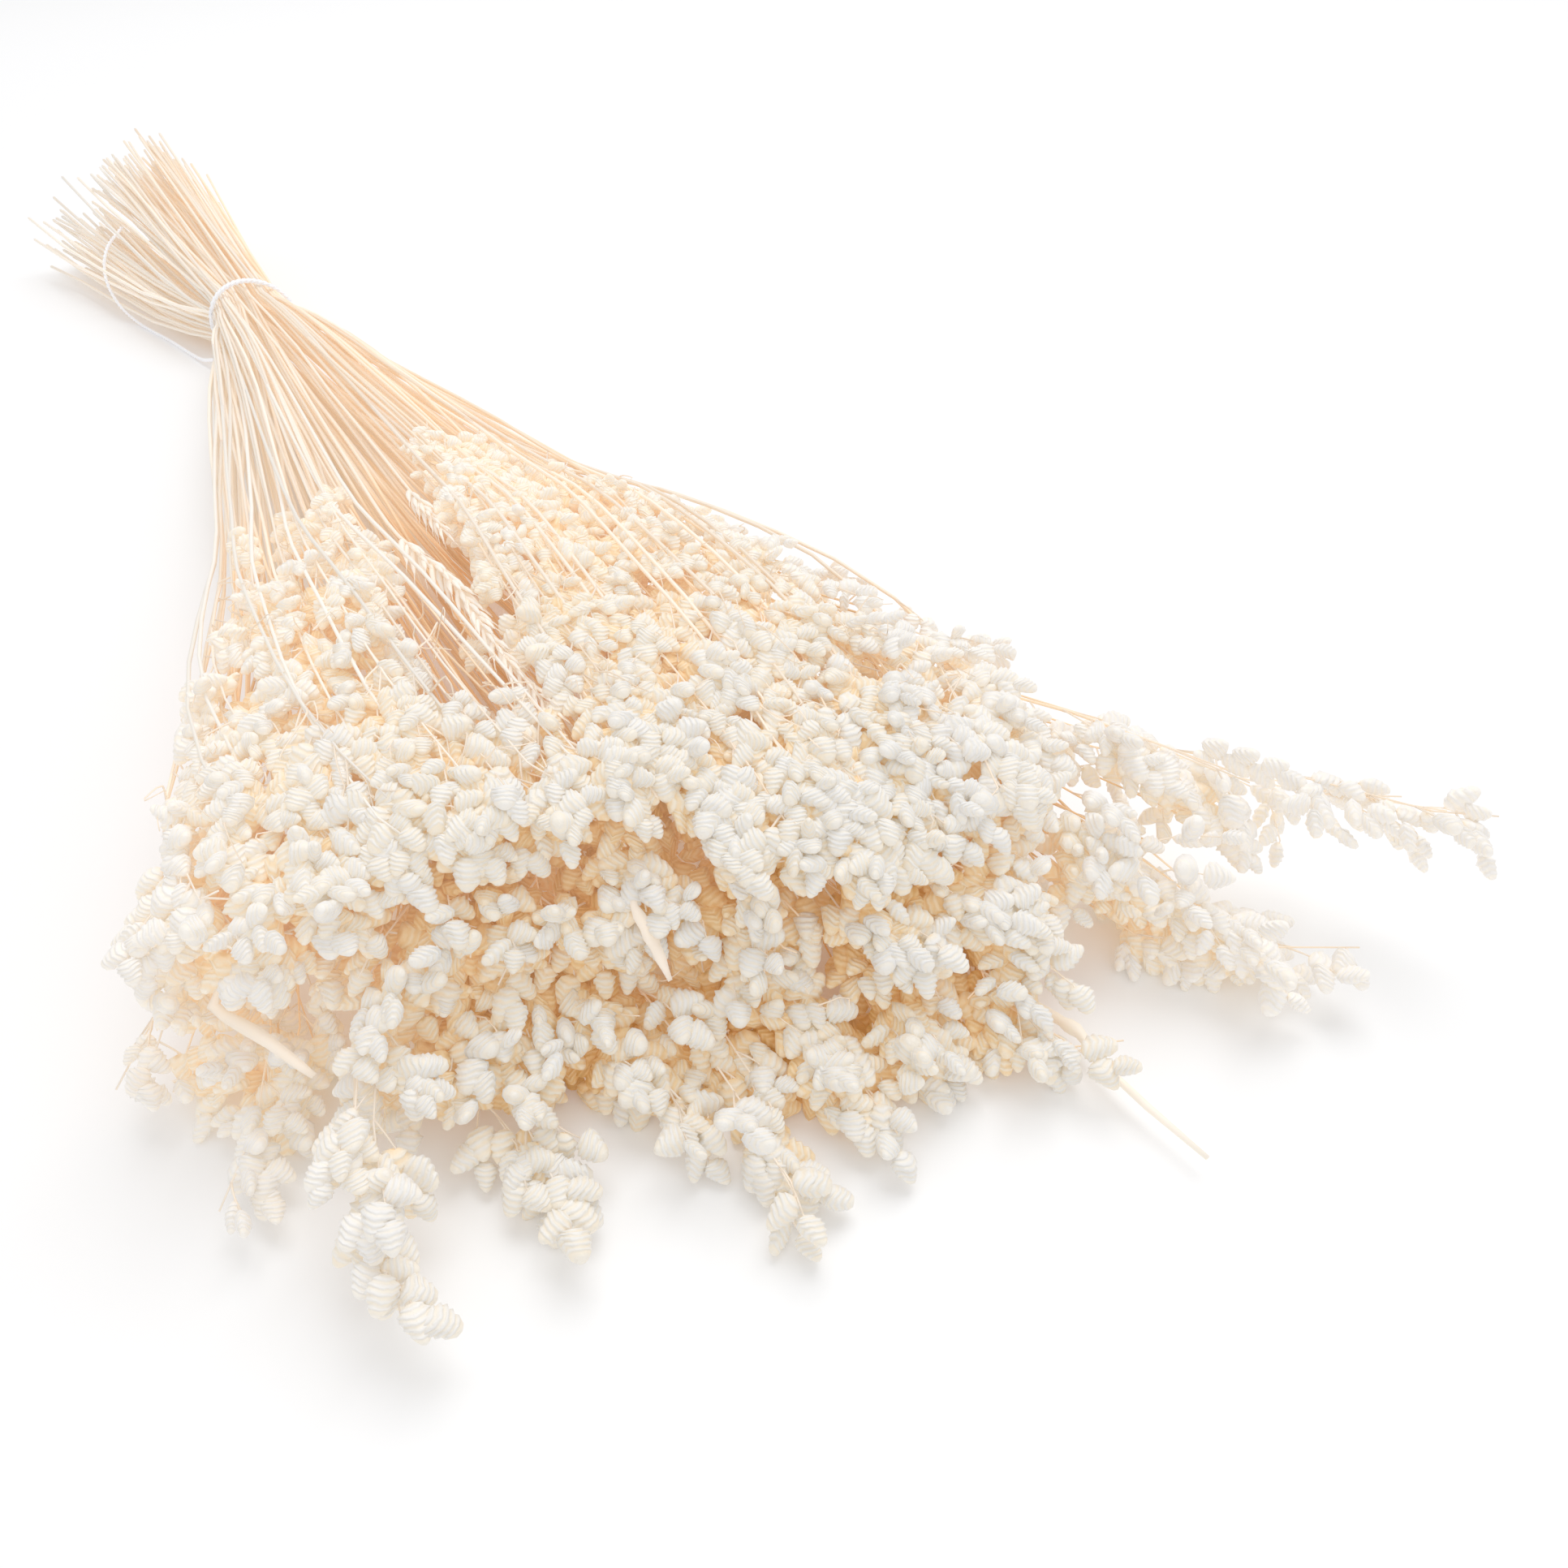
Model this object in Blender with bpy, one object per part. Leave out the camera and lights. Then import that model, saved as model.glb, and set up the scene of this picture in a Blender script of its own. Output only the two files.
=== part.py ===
"""Tied bunch of dried lesser quaking grass, lying on a surface with its heads to +X.

Lengths are in millimetres in the working frame: X runs along the bunch from the middle of the tie
to the heads, Y across it and Z up from the surface. Meshes are written in metres, and an empty
moves the whole bunch so that its origin is under the middle of its box.
"""
import math

import bpy
import numpy as np

MM = 0.001
SEED = 7

# The tie holds the wisps in rings round a middle one
RING_PITCH = 3.7
RING_COUNT = 3
RING_SEATS = 6
HUB_RADIUS = 1.68
HUB_HALF = 7.0
HUB_SIDES = 6
CLEARANCE = 0.3
STRING = 1.3
TIE_TURNS = 3
TIE_SIDES = 18
TIE_FLAT = 0.15
TIE_PRESSED = 0.4
TIE_CREST = ((0.12, 0.62), (0.5, 1.0), (0.88, 0.62))
TIE_INNER = RING_COUNT * RING_PITCH + HUB_RADIUS + CLEARANCE
TIE_OUTER = TIE_INNER + STRING
TIE_HEIGHT = TIE_OUTER - TIE_FLAT
KNOT_TURN = math.radians(212)
KNOT_RADIUS = 2.2
KNOT_SIDES = 7
KNOT_BANDS = ((-0.95, 0.35), (-0.5, 0.85), (0.1, 1.0), (0.6, 0.8), (0.95, 0.3))

# Outline of the bunch in front of the tie: distance, left side, right side, top
OUTLINE = (
    (0, -12.8, 12.8, 27.2),
    (20, -18, 21, 27),
    (100, -27, 38, 30),
    (175, -36, 50, 37),
    (225, -45, 63, 43),
    (260, -54, 75, 46),
    (295, -60, 89, 46),
    (325, -65, 98, 41),
    (348, -66, 104, 32),
    (365, -64, 106, 22),
)
SLICE = 5.0
SLICE_END = 365.0
REACH_END = 400.0
ROUNDNESS = 2.0
SQUARENESS = 2.6
SQUARE_RUN = 150.0
PLACE_NOISE = 0.05
TIE_LIFT = 1.6
TIE_LIFT_RUN = 40.0
SECTION_FILL = 0.87
SPREAD_ROUNDS = 40
SPREAD_PUSH = 0.3
CELL_FILL = 1.02
EDGE_SHARE = 0.42
SMOOTH_ROUNDS = 6
FAR = 1000.0

# Where the heads start, by share of the width from left to right
HEAD_STATION = 225.0
HEAD_START = (
    (0, 230), (0.2, 222), (0.3, 192), (0.36, 180), (0.42, 240),
    (0.48, 190), (0.6, 175), (0.8, 185), (0.9, 205), (1, 222),
)
HEAD_START_SPREAD = 6.0
HEAD_TIP = 358.0
HEAD_TIP_SPREAD = 9.0
TOP_TIP_DROP = 16.0
TIP_NOISE = (-1, 0.4)

# Sprays that reach past the mass of heads, as the place of each tip
FREE_TIPS = (
    (318, -69, 5),
    (344, -60, 5),
    (371, -38, 5),
    (367, -19, 5),
    (361, 4, 5),
    (386, 8, 5),
    (374, 28, 5),
    (373, 48, 5),
    (386, 72, 5),
    (379, 93, 6),
    (385, 116, 8),
    (378, 131, 26),
)
FREE_RUN = 40.0
WIDE_RUN = 52.0
WIDE_SIDE = 100.0
ORDER_STATION = 315.0
END_ROUNDS = 30
END_GAP = 8.0
END_GAP_RUN = 80.0
END_LOW = 3.4
END_SMOOTHING = (3, 1)
PAST_TIP = 12.0

# Stems
STRANDS = 3
STRAND_RADIUS = 0.8
STRAND_OFFSET = 0.22
STRAND_STATIONS = (5.0, 42.0, 110.0, 180.0)
STRAND_CLEAR = 14.0
STRAND_INSIDE = 3.0
HUB_OFFSET = 0.75
TUBE_TURN = 0.3
CUT_STATIONS = (-5.0, -70.0, -155.0)
CUT_LENGTH_SPREAD = 14.0
UPPER_LOBE = (-12.0, 34.0)
LOWER_LOBE = (-46.0, 11.5)
UPPER_SPREAD = 1.65
LOWER_SPREAD = 1.3
UPPER_CORE = 0.2
LOWER_CORE = -0.7
LOBE_SPLIT = -0.3
LOBE_TURN = math.radians(55)
CUT_FLARE = 1.25
CUT_GAP = 5.6
CUT_LOW = 2.7
CUT_LIFT_RATE = 3.0
CUT_ROUNDS = 60
CUT_SLICES = 8

# Spikelets, larger than life
SPIKELET_LENGTH = 8.8
SPIKELET_HALF_WIDTH = 3.9
SPIKELET_HALF_DEPTH = 2.3
SPIKELET_BELLY = 0.6
SPIKELET_TILT = math.radians(38)
SPIKELET_SIZES = (0.88, 1.1)
SPIKELET_LEAN = 0.15
RING_STEP = 8.8
CORE_RADIUS = 1.5
CORE_SIDES = 3
CORE_TAPER = 0.35
SLOPE_STEP = 3.0
CELL_MARGIN = 0.3
CELL_LEAST = 0.05
OPEN_REACH = 1.75
OPEN_COSINE = 0.55
OPEN_NEAREST = 4
TIP_DENSE = 34.0
FLOOR_SHARE = 0.25
UNDERSIDE = -0.6

# The ears of another grass and the bare broken stem, as places in the outer ring of the tie
EAR_PLACES = (20, 19)
EAR_SPANS = ((232, 300), (206, 232))
EAR_STEP = 5.5
EAR_CORE = 1.1
EAR_SPIKELET = (8.0, 1.5, 1.0, math.radians(72))
EAR_STEM_SIDES = 4
BARE_PLACE = 30
BARE_END = (390, 63, 1.2)
BARE_RUN = 110.0
BARE_STATIONS = (5, 60, 125, 185, 225, 270, 310, 335, 350, 362, 364, 366, 368, 390)
BARE_RADII = (0.9, 0.9, 0.9, 0.9, 0.9, 0.9, 0.9, 0.9, 0.9, 0.8, 1.15, 1.15, 0.7, 0.45)
BARE_SIDES = 5

# The loose end of the tie string, from the knot, as places that it passes
STRING_ROUTE = (
    (-2.6, -16.5, 3.4),
    (-14, -20.5, 1.2),
    (-40, -27.5, 0.8),
    (-66, -36, 1.2),
    (-79, -41, 6),
    (-86, -42, 14),
    (-93, -38.5, 21.5),
    (-104, -31, 26),
)
ROUTE_FINE = 24
ROUTE_STEP = 2.6 * STRING

GRASS_COLOUR = (0.87, 0.78, 0.62)
STRAW_COLOUR = (0.83, 0.71, 0.5)
COTTON_COLOUR = (0.9, 0.89, 0.86)


def outline_at(x):
    """Left side, right side and top of the bunch at a distance in front of the tie."""
    table = np.array(OUTLINE, float)
    return tuple(np.interp(x, table[:, 0], table[:, column]) for column in (1, 2, 3))


def tie_places():
    """Middle of each wisp inside the tie, ring by ring, from the top of each ring."""
    places = [(0.0, TIE_HEIGHT)]
    for ring in range(1, RING_COUNT + 1):
        for step in range(RING_SEATS * ring):
            turn = math.pi / 2 + 2 * math.pi * step / (RING_SEATS * ring)
            reach = ring * RING_PITCH
            places.append((reach * math.cos(turn), TIE_HEIGHT + reach * math.sin(turn)))
    return np.array(places)


def spread(rng):
    """Paths of the wisps from the tie to the heads, pushed apart evenly inside the outline."""
    stations = np.arange(0, SLICE_END + SLICE, SLICE)
    points = tie_places()
    points = points + rng.uniform(-PLACE_NOISE, PLACE_NOISE, points.shape)
    last_reach = np.full(len(points), np.inf)
    for wisp, span in zip(EAR_PLACES, EAR_SPANS):
        last_reach[wisp] = span[1] + PAST_TIP
    last_centre = np.array([0.0, TIE_HEIGHT])
    last_half = np.ones(2) * RING_COUNT * RING_PITCH
    rows = []
    for x in stations:
        if x <= HUB_HALF:
            rows.append(tie_places())
            continue
        alive = x < last_reach
        left, right, top = outline_at(x)
        low = max(0.0, TIE_LIFT * (1 - x / TIE_LIFT_RUN))
        area = (right - left) * (top - low) * SECTION_FILL
        pitch = math.sqrt(area / alive.sum() * 2 / math.sqrt(3))
        edge = EDGE_SHARE * pitch
        centre = np.array([(left + right) / 2, (top + low) / 2])
        half = np.array([(right - left) / 2 - edge, (top - low) / 2 - edge])
        points = centre + (points - last_centre) / last_half * half
        square = ROUNDNESS + (SQUARENESS - ROUNDNESS) * min(1.0, x / SQUARE_RUN)
        points[alive] = settle(points[alive], centre, half, square, pitch * CELL_FILL)
        last_centre, last_half = centre, half
        rows.append(points)
    paths = np.array(rows)
    for _ in range(SMOOTH_ROUNDS):
        paths[1:-1] = (paths[:-2] + 2 * paths[1:-1] + paths[2:]) / 4
        paths[stations <= HUB_HALF] = tie_places()
    return stations, paths


def kept_apart(points, gap, low, rounds):
    """Pushes points that stand nearer than the gap apart, and keeps them above the surface."""
    for _ in range(rounds):
        away = points[:, None] - points[None]
        distance = np.linalg.norm(away, axis=2) + np.eye(len(points)) * FAR
        push = np.clip(gap - distance, 0, None) / distance
        points = points + SPREAD_PUSH * (away * push[..., None]).sum(axis=1)
        points[:, 1] = np.maximum(points[:, 1], low)
    return points


def settle(points, centre, half, square, pitch):
    """Pushes points that stand nearer than the pitch apart, and keeps them inside the section."""
    for _ in range(SPREAD_ROUNDS):
        gap = points[:, None] - points[None]
        distance = np.linalg.norm(gap, axis=2) + np.eye(len(points)) * FAR
        push = np.clip(pitch - distance, 0, None) / distance
        points = points + SPREAD_PUSH * (gap * push[..., None]).sum(axis=1)
        inside = (points - centre) / half
        reach = (np.abs(inside) ** square).sum(axis=1) ** (1 / square)
        points = centre + inside / np.maximum(reach, 1)[:, None] * half
    return points


class Layout:
    """Paths of all wisps, where their heads start and end, and the cell that each one may fill."""

    def __init__(self):
        self.rng = np.random.default_rng(SEED)
        self.stations, paths = spread(self.rng)
        self.count = paths.shape[1]
        self.paths = paths.transpose(1, 0, 2)
        self.ends = [None] * self.count
        self.tips = np.zeros(self.count)
        self.starts = np.zeros(self.count)
        self.lay_cut_side()
        self.plan_heads()
        self.plan_free_sprays()
        self.lay_ends()

    def plan_heads(self):
        """Gives each wisp the start and the tip of its head."""
        left, right, top = outline_at(HEAD_STATION)
        table = np.array(HEAD_START, float)
        for wisp in range(self.count):
            y, z = self.flow(wisp, HEAD_STATION)
            share = (y - left) / (right - left)
            start = np.interp(share, table[:, 0], table[:, 1])
            height = z / top
            self.starts[wisp] = start + self.rng.uniform(-1, 1) * HEAD_START_SPREAD
            drop = TOP_TIP_DROP * height * height
            self.tips[wisp] = HEAD_TIP - drop + self.rng.uniform(*TIP_NOISE) * HEAD_TIP_SPREAD

    def plan_free_sprays(self):
        """Leads the low wisp nearest to each free tip out to it."""
        special = set(EAR_PLACES) | {BARE_PLACE}
        for wisp, span in zip(EAR_PLACES, EAR_SPANS):
            self.tips[wisp] = span[1]
        self.lead_to(BARE_PLACE, BARE_END)
        chosen = []
        for tip in FREE_TIPS:
            target = np.array(tip[1:], float)
            near = tip[0] - FREE_RUN
            ranked = sorted(
                (float(np.linalg.norm(self.flow(wisp, near) - target)), wisp)
                for wisp in range(self.count)
                if wisp not in special and wisp not in chosen
            )
            chosen.append(ranked[0][1])
        chosen.sort(key=lambda wisp: self.flow(wisp, ORDER_STATION)[0])
        for wisp, tip in zip(chosen, sorted(FREE_TIPS, key=lambda tip: tip[1])):
            self.lead_to(wisp, tip)

    def lead_to(self, wisp, tip):
        """Bends the end of a wisp's path smoothly to a tip."""
        self.ends[wisp] = np.array(tip, float)
        self.tips[wisp] = tip[0]

    def lay_ends(self):
        """Carries the paths on to the free tips, and keeps them apart on the way."""
        more = np.arange(SLICE_END + SLICE, REACH_END + SLICE, SLICE)
        stations = np.concatenate([self.stations, more])
        paths = np.array([[self.toward_end(wisp, x) for x in stations] for wisp in range(self.count)])
        for smoothings in END_SMOOTHING:
            for index, x in enumerate(stations):
                here = [wisp for wisp in range(self.count) if x < self.tips[wisp] + PAST_TIP]
                if x > HEAD_STATION and len(here) > 1:
                    gap = END_GAP * min(1.0, (x - HEAD_STATION) / END_GAP_RUN)
                    paths[here, index] = kept_apart(paths[here, index], gap, END_LOW, END_ROUNDS)
            for _ in range(smoothings):
                paths[:, 3:-1] = (paths[:, 2:-2] + 2 * paths[:, 3:-1] + paths[:, 4:]) / 4
        self.stations, self.paths = stations, paths

    def flow(self, wisp, x):
        """Place of a wisp's axis in front of the tie, across and up."""
        return np.array([np.interp(x, self.stations, self.paths[wisp, :, axis]) for axis in (0, 1)])

    def toward_end(self, wisp, x):
        """Place of a wisp's axis, led over from the plain spread to its free tip."""
        place = self.flow(wisp, x)
        end = self.ends[wisp]
        if end is None:
            return place
        run = WIDE_RUN if abs(end[1]) > WIDE_SIDE else FREE_RUN
        if wisp == BARE_PLACE:
            run = BARE_RUN
        share = np.clip((x - (end[0] - run)) / run, 0, 1)
        return place + (end[1:] - place) * share * share * (3 - 2 * share)

    def at(self, wisp, x):
        """Place across and up of a wisp's axis at a distance from the tie."""
        return self.cut_side(wisp, x) if x < 0 else self.flow(wisp, x)

    def lay_cut_side(self):
        """Paths from the tie to the cut ends, which part into two lobes."""
        end = -CUT_STATIONS[-1]
        self.cut_stations = np.linspace(HUB_HALF, end, CUT_SLICES)
        shares = (self.cut_stations - HUB_HALF) / (end - HUB_HALF)
        homes = tie_places()
        goals = np.array([self.cut_goal(home) for home in homes])
        rows = []
        for share in shares:
            points = homes + (goals - homes) * share
            gap = RING_PITCH + (CUT_GAP - RING_PITCH) * share
            low = CUT_LOW * min(1.0, share * CUT_LIFT_RATE)
            rows.append(kept_apart(points, gap, low, CUT_ROUNDS) if share else homes)
        self.cut_paths = np.array(rows).transpose(1, 0, 2)

    def cut_goal(self, home):
        """Where a stem ends, in the lower or the upper lobe."""
        middle = np.array([0.0, TIE_HEIGHT])
        toward = np.array([math.cos(LOBE_TURN), math.sin(LOBE_TURN)])
        lower = (home - middle) @ toward < LOBE_SPLIT * RING_COUNT * RING_PITCH
        lobe = np.array(LOWER_LOBE if lower else UPPER_LOBE)
        scale = LOWER_SPREAD if lower else UPPER_SPREAD
        core = middle + toward * RING_COUNT * RING_PITCH * (LOWER_CORE if lower else UPPER_CORE)
        return lobe + (home - core) * scale

    def cut_side(self, wisp, x):
        """Place of a stem between the tie and its cut end."""
        path = self.cut_paths[wisp]
        return np.array([np.interp(-x, self.cut_stations, path[:, axis]) for axis in (0, 1)])

    def neighbours(self, wisp, x):
        """Places of the other wisps that reach this far."""
        return [
            self.at(other, x)
            for other in range(self.count)
            if other != wisp and x < self.tips[other] + PAST_TIP
        ]

    def kept_in_cell(self, wisp, point):
        """The point, drawn in towards its wisp's axis until it is clear of the next wisp's cell."""
        x = point[0]
        axis = self.at(wisp, x)
        away = point[1:] - axis
        share = 1.0
        for other in self.neighbours(wisp, x):
            gap = other - axis
            distance = float(np.linalg.norm(gap))
            along = float(away @ gap) / distance
            limit = distance / 2 - CELL_MARGIN
            if along * share > limit:
                share = max(limit / along, CELL_LEAST)
        inside = axis + away * share
        return np.array([x, inside[0], max(inside[1], 0.0)])

    def open_side(self, wisp, x, direction):
        """Whether no other wisp stands close on this side."""
        axis = self.at(wisp, x)
        places = [other - axis for other in self.neighbours(wisp, x)]
        distances = sorted(float(np.linalg.norm(gap)) for gap in places)
        reach = OPEN_REACH * np.mean(distances[:OPEN_NEAREST])
        for gap in places:
            distance = float(np.linalg.norm(gap))
            if distance < reach and float(gap @ direction) / distance > OPEN_COSINE:
                return False
        return True


def mesh_object(name, points, faces):
    """A mesh object from points in millimetres."""
    mesh = bpy.data.meshes.new(name)
    mesh.from_pydata([tuple(float(c) * MM for c in point) for point in points], [], faces)
    mesh.validate()
    mesh.update()
    obj = bpy.data.objects.new(name, mesh)
    bpy.context.scene.collection.objects.link(obj)
    return obj


def ring_points(centre, radius, sides, turn):
    """Points of a ring across the bunch, square to X."""
    x, y, z = centre
    angles = [turn + 2 * math.pi * k / sides for k in range(sides)]
    return [np.array([x, y + radius * math.cos(a), z + radius * math.sin(a)]) for a in angles]


def tube(centres, radii, sides, turn=TUBE_TURN):
    """A closed tube through the centres."""
    points, faces = [], []
    for centre, radius in zip(centres, radii):
        points += ring_points(centre, radius, sides, turn)
    for ring in range(len(centres) - 1):
        base = ring * sides
        for k in range(sides):
            a, b = base + k, base + (k + 1) % sides
            faces.append((a, b, b + sides, a + sides))
    faces.append(tuple(range(sides))[::-1])
    top = (len(centres) - 1) * sides
    faces.append(tuple(top + k for k in range(sides)))
    if centres[-1][0] > centres[0][0]:
        return points, faces
    return points, [face[::-1] for face in faces]


def raised_head(layout, wisp, xs, core_radius, spikelet, keep):
    """A slim core along the wisp's axis, with spikelets raised from the diamonds of its surface.

    Each ring is turned by half a side to the one before, so the surface is made of diamonds, and
    each diamond that is kept opens into a flattened spikelet that leans forward.
    """
    length, half_width, half_depth, tilt = spikelet
    sides = CORE_SIDES
    half_turn = math.pi / sides
    phase = layout.rng.uniform(0, math.pi)
    points, faces = [], []
    rings = len(xs)
    for index, x in enumerate(xs):
        y, z = layout.at(wisp, x)
        taper = 1 - CORE_TAPER * index / rings
        ring = ring_points((x, y, z), core_radius * taper, sides, phase + half_turn * index)
        points += [layout.kept_in_cell(wisp, point) for point in ring]
    slopes = [slope(layout, wisp, x) for x in xs]

    def diamond(index, k):
        """Corners of the diamond whose wide part is at this ring: rear, left, front and right."""
        # Ring index + 1 is turned half a side on, so its k-th point lies between k and k + 1 here.
        right, left = index * sides + k, index * sides + (k + 1) % sides
        front = (index + 1) * sides + k
        rear = (index - 1) * sides + (k + 1) % sides
        return rear, left, front, right

    for index in range(1, rings - 1):
        for k in range(sides):
            rear, left, front, right = diamond(index, k)
            turn = phase + half_turn * index + half_turn * (2 * k + 1)
            outward = np.array([math.cos(turn), math.sin(turn)])
            if not keep(xs[index], outward):
                faces += [(rear, left, right), (right, left, front)]
                continue
            base = [np.array(points[c]) for c in (rear, left, front, right)]
            size = layout.rng.uniform(*SPIKELET_SIZES)
            lean = tilt + layout.rng.uniform(-SPIKELET_LEAN, SPIKELET_LEAN)
            along = np.array([1.0, slopes[index][0], slopes[index][1]])
            along /= np.linalg.norm(along)
            out = np.array([0.0, outward[0], outward[1]])
            heading = out * math.cos(lean) + along * math.sin(lean)
            side = np.cross(along, out)
            side /= np.linalg.norm(side)
            thick = np.cross(side, heading)
            if thick @ along < 0:
                thick = -thick
            if side @ (base[1] - base[3]) < 0:
                side = -side
            root = sum(base) / 4
            belly = root + heading * length * size * SPIKELET_BELLY
            corners = [
                belly - thick * half_depth * size,
                belly + side * half_width * size,
                belly + thick * half_depth * size,
                belly - side * half_width * size,
            ]
            tip = root + heading * length * size
            first = len(points)
            points += [layout.kept_in_cell(wisp, corner) for corner in corners]
            points.append(layout.kept_in_cell(wisp, tip))
            ids = [rear, left, front, right]
            for c in range(4):
                a, b = ids[c], ids[(c + 1) % 4]
                c0, c1 = first + c, first + (c + 1) % 4
                faces += [(a, b, c1), (a, c1, c0), (c0, c1, first + 4)]
    # The half diamonds at the two ends
    for k in range(sides):
        right, left = k, (k + 1) % sides
        faces.append((right, left, sides + k))
        last = (rings - 1) * sides
        faces.append((last + k, (rings - 2) * sides + (k + 1) % sides, last + (k + 1) % sides))
    faces.append(tuple(range(sides))[::-1])
    end = len(points)
    tip_x = xs[-1] + RING_STEP * 0.5
    y, z = layout.at(wisp, tip_x)
    points.append(layout.kept_in_cell(wisp, np.array([tip_x, y, z])))
    last = (rings - 1) * sides
    for k in range(sides):
        faces.append((last + k, last + (k + 1) % sides, end))
    return points, faces


def slope(layout, wisp, x):
    """How fast a wisp's axis runs across and up, for each millimetre along the bunch."""
    rise = layout.at(wisp, x + SLOPE_STEP) - layout.at(wisp, x - SLOPE_STEP)
    return rise / (2 * SLOPE_STEP)


def strand_offset(layout, wisp, k, x, turn):
    """Place of one stem beside its wisp's axis."""
    angle = turn + 2 * math.pi * k / STRANDS
    axis = layout.at(wisp, x)
    gaps = [float(np.linalg.norm(other - axis)) for other in layout.neighbours(wisp, x)]
    reach = max(HUB_OFFSET, min(gaps) * STRAND_OFFSET) if abs(x) > HUB_HALF else HUB_OFFSET
    return np.array([x, axis[0] + reach * math.cos(angle), axis[1] + reach * math.sin(angle)])


def stem_tubes(layout, wisp, head_start, turn):
    """The stems of a wisp: cut end, tie and straw up to its head."""
    shapes = []
    for k in range(STRANDS):
        xs = [x for x in STRAND_STATIONS if x < head_start - STRAND_CLEAR]
        front = [strand_offset(layout, wisp, k, x, turn) for x in xs]
        inside = head_start + STRAND_INSIDE
        axis = layout.at(wisp, inside)
        front.append(np.array([inside, axis[0], axis[1]]))
        radii = [STRAND_RADIUS] * len(front)
        shapes.append(tube(front, radii, 3, turn + 2 * math.pi * k / STRANDS))
        shapes.append(cut_tube(layout, wisp, k, turn))
    return shapes


def cut_tube(layout, wisp, k, turn):
    """One stem from the tie to its cut end."""
    length = layout.rng.uniform(-1, 1) * CUT_LENGTH_SPREAD
    centres = []
    for x in CUT_STATIONS:
        share = x / CUT_STATIONS[-1]
        place = x + (length if x == CUT_STATIONS[-1] else 0)
        axis = layout.at(wisp, place)
        reach = HUB_OFFSET + (CUT_FLARE - HUB_OFFSET) * share
        angle = turn + 2 * math.pi * k / STRANDS
        height = max(axis[1] + reach * math.sin(angle), STRAND_RADIUS)
        centres.append(np.array([place, axis[0] + reach * math.cos(angle), height]))
    return tube(centres, [STRAND_RADIUS] * len(centres), 3, turn + 2 * math.pi * k / STRANDS)


def hub(layout, wisp):
    """The part of a wisp that the tie presses together."""
    y, z = layout.paths[wisp, 0]
    centres = [np.array([side * HUB_HALF, y, z]) for side in (-1, 1)]
    return tube(centres, [HUB_RADIUS] * 2, HUB_SIDES, 0.0)


def fuse(name, shapes):
    """Joins closed shapes into one body."""
    parts = [mesh_object(f"{name}_piece", points, faces) for points, faces in shapes]
    whole = parts[0]
    whole.name = name
    whole.data.name = name
    if len(parts) > 1:
        group = bpy.data.collections.new(f"{name}_pieces")
        bpy.context.scene.collection.children.link(group)
        for piece in parts[1:]:
            group.objects.link(piece)
        union = whole.modifiers.new("union", "BOOLEAN")
        union.operation = "UNION"
        union.operand_type = "COLLECTION"
        union.collection = group
        union.solver = "MANIFOLD"
        apply_modifiers(whole)
        for piece in parts[1:]:
            bpy.data.objects.remove(piece)
        bpy.data.collections.remove(group)
    return whole


def apply_modifiers(obj):
    """Writes the modified shape into the object's own mesh."""
    bpy.context.view_layer.update()
    graph = bpy.context.evaluated_depsgraph_get()
    mesh = bpy.data.meshes.new_from_object(obj.evaluated_get(graph))
    mesh.name = obj.name
    obj.modifiers.clear()
    obj.data = mesh


def make_wisp(layout, wisp, name):
    """Several stems with their heads, pressed together in the tie."""
    start, tip = layout.starts[wisp], layout.tips[wisp]
    count = max(3, round((tip - start) / RING_STEP))
    xs = np.linspace(start, tip, count + 1)

    def keep(x, outward):
        if outward[1] < UNDERSIDE:
            return layout.rng.uniform() < FLOOR_SHARE and x > start + RING_STEP
        return x > tip - TIP_DENSE or layout.open_side(wisp, x, outward)

    spikelet = (SPIKELET_LENGTH, SPIKELET_HALF_WIDTH, SPIKELET_HALF_DEPTH, SPIKELET_TILT)
    turn = layout.rng.uniform(0, math.pi)
    shapes = [raised_head(layout, wisp, xs, CORE_RADIUS, spikelet, keep), hub(layout, wisp)]
    shapes += stem_tubes(layout, wisp, start, turn)
    return fuse(name, shapes)


def make_ear(layout, wisp, span, name):
    """The ear of another grass on its one stem."""
    count = round((span[1] - span[0]) / EAR_STEP)
    xs = np.linspace(span[0], span[1], count + 1)
    head = raised_head(layout, wisp, xs, EAR_CORE, EAR_SPIKELET, lambda x, outward: True)
    stations = [x for x in STRAND_STATIONS if x < span[0] - STRAND_CLEAR]
    stations.append(span[0] + STRAND_INSIDE)
    centres = [np.array([x, *layout.at(wisp, x)]) for x in stations]
    stem = tube(centres, [STRAND_RADIUS] * len(centres), EAR_STEM_SIDES)
    return fuse(name, [head, hub(layout, wisp), stem, cut_tube(layout, wisp, 0, 0.0)])


def make_bare_stem(layout, wisp, name):
    """The stem whose head has broken off, with a joint near its end."""
    centres = [np.array([x, *layout.at(wisp, x)]) for x in BARE_STATIONS]
    for centre, radius in zip(centres, BARE_RADII):
        centre[2] = max(centre[2], radius)
    stem = tube(centres, BARE_RADII, BARE_SIDES)
    return fuse(name, [stem, hub(layout, wisp), cut_tube(layout, wisp, 0, 0.0)])


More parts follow.
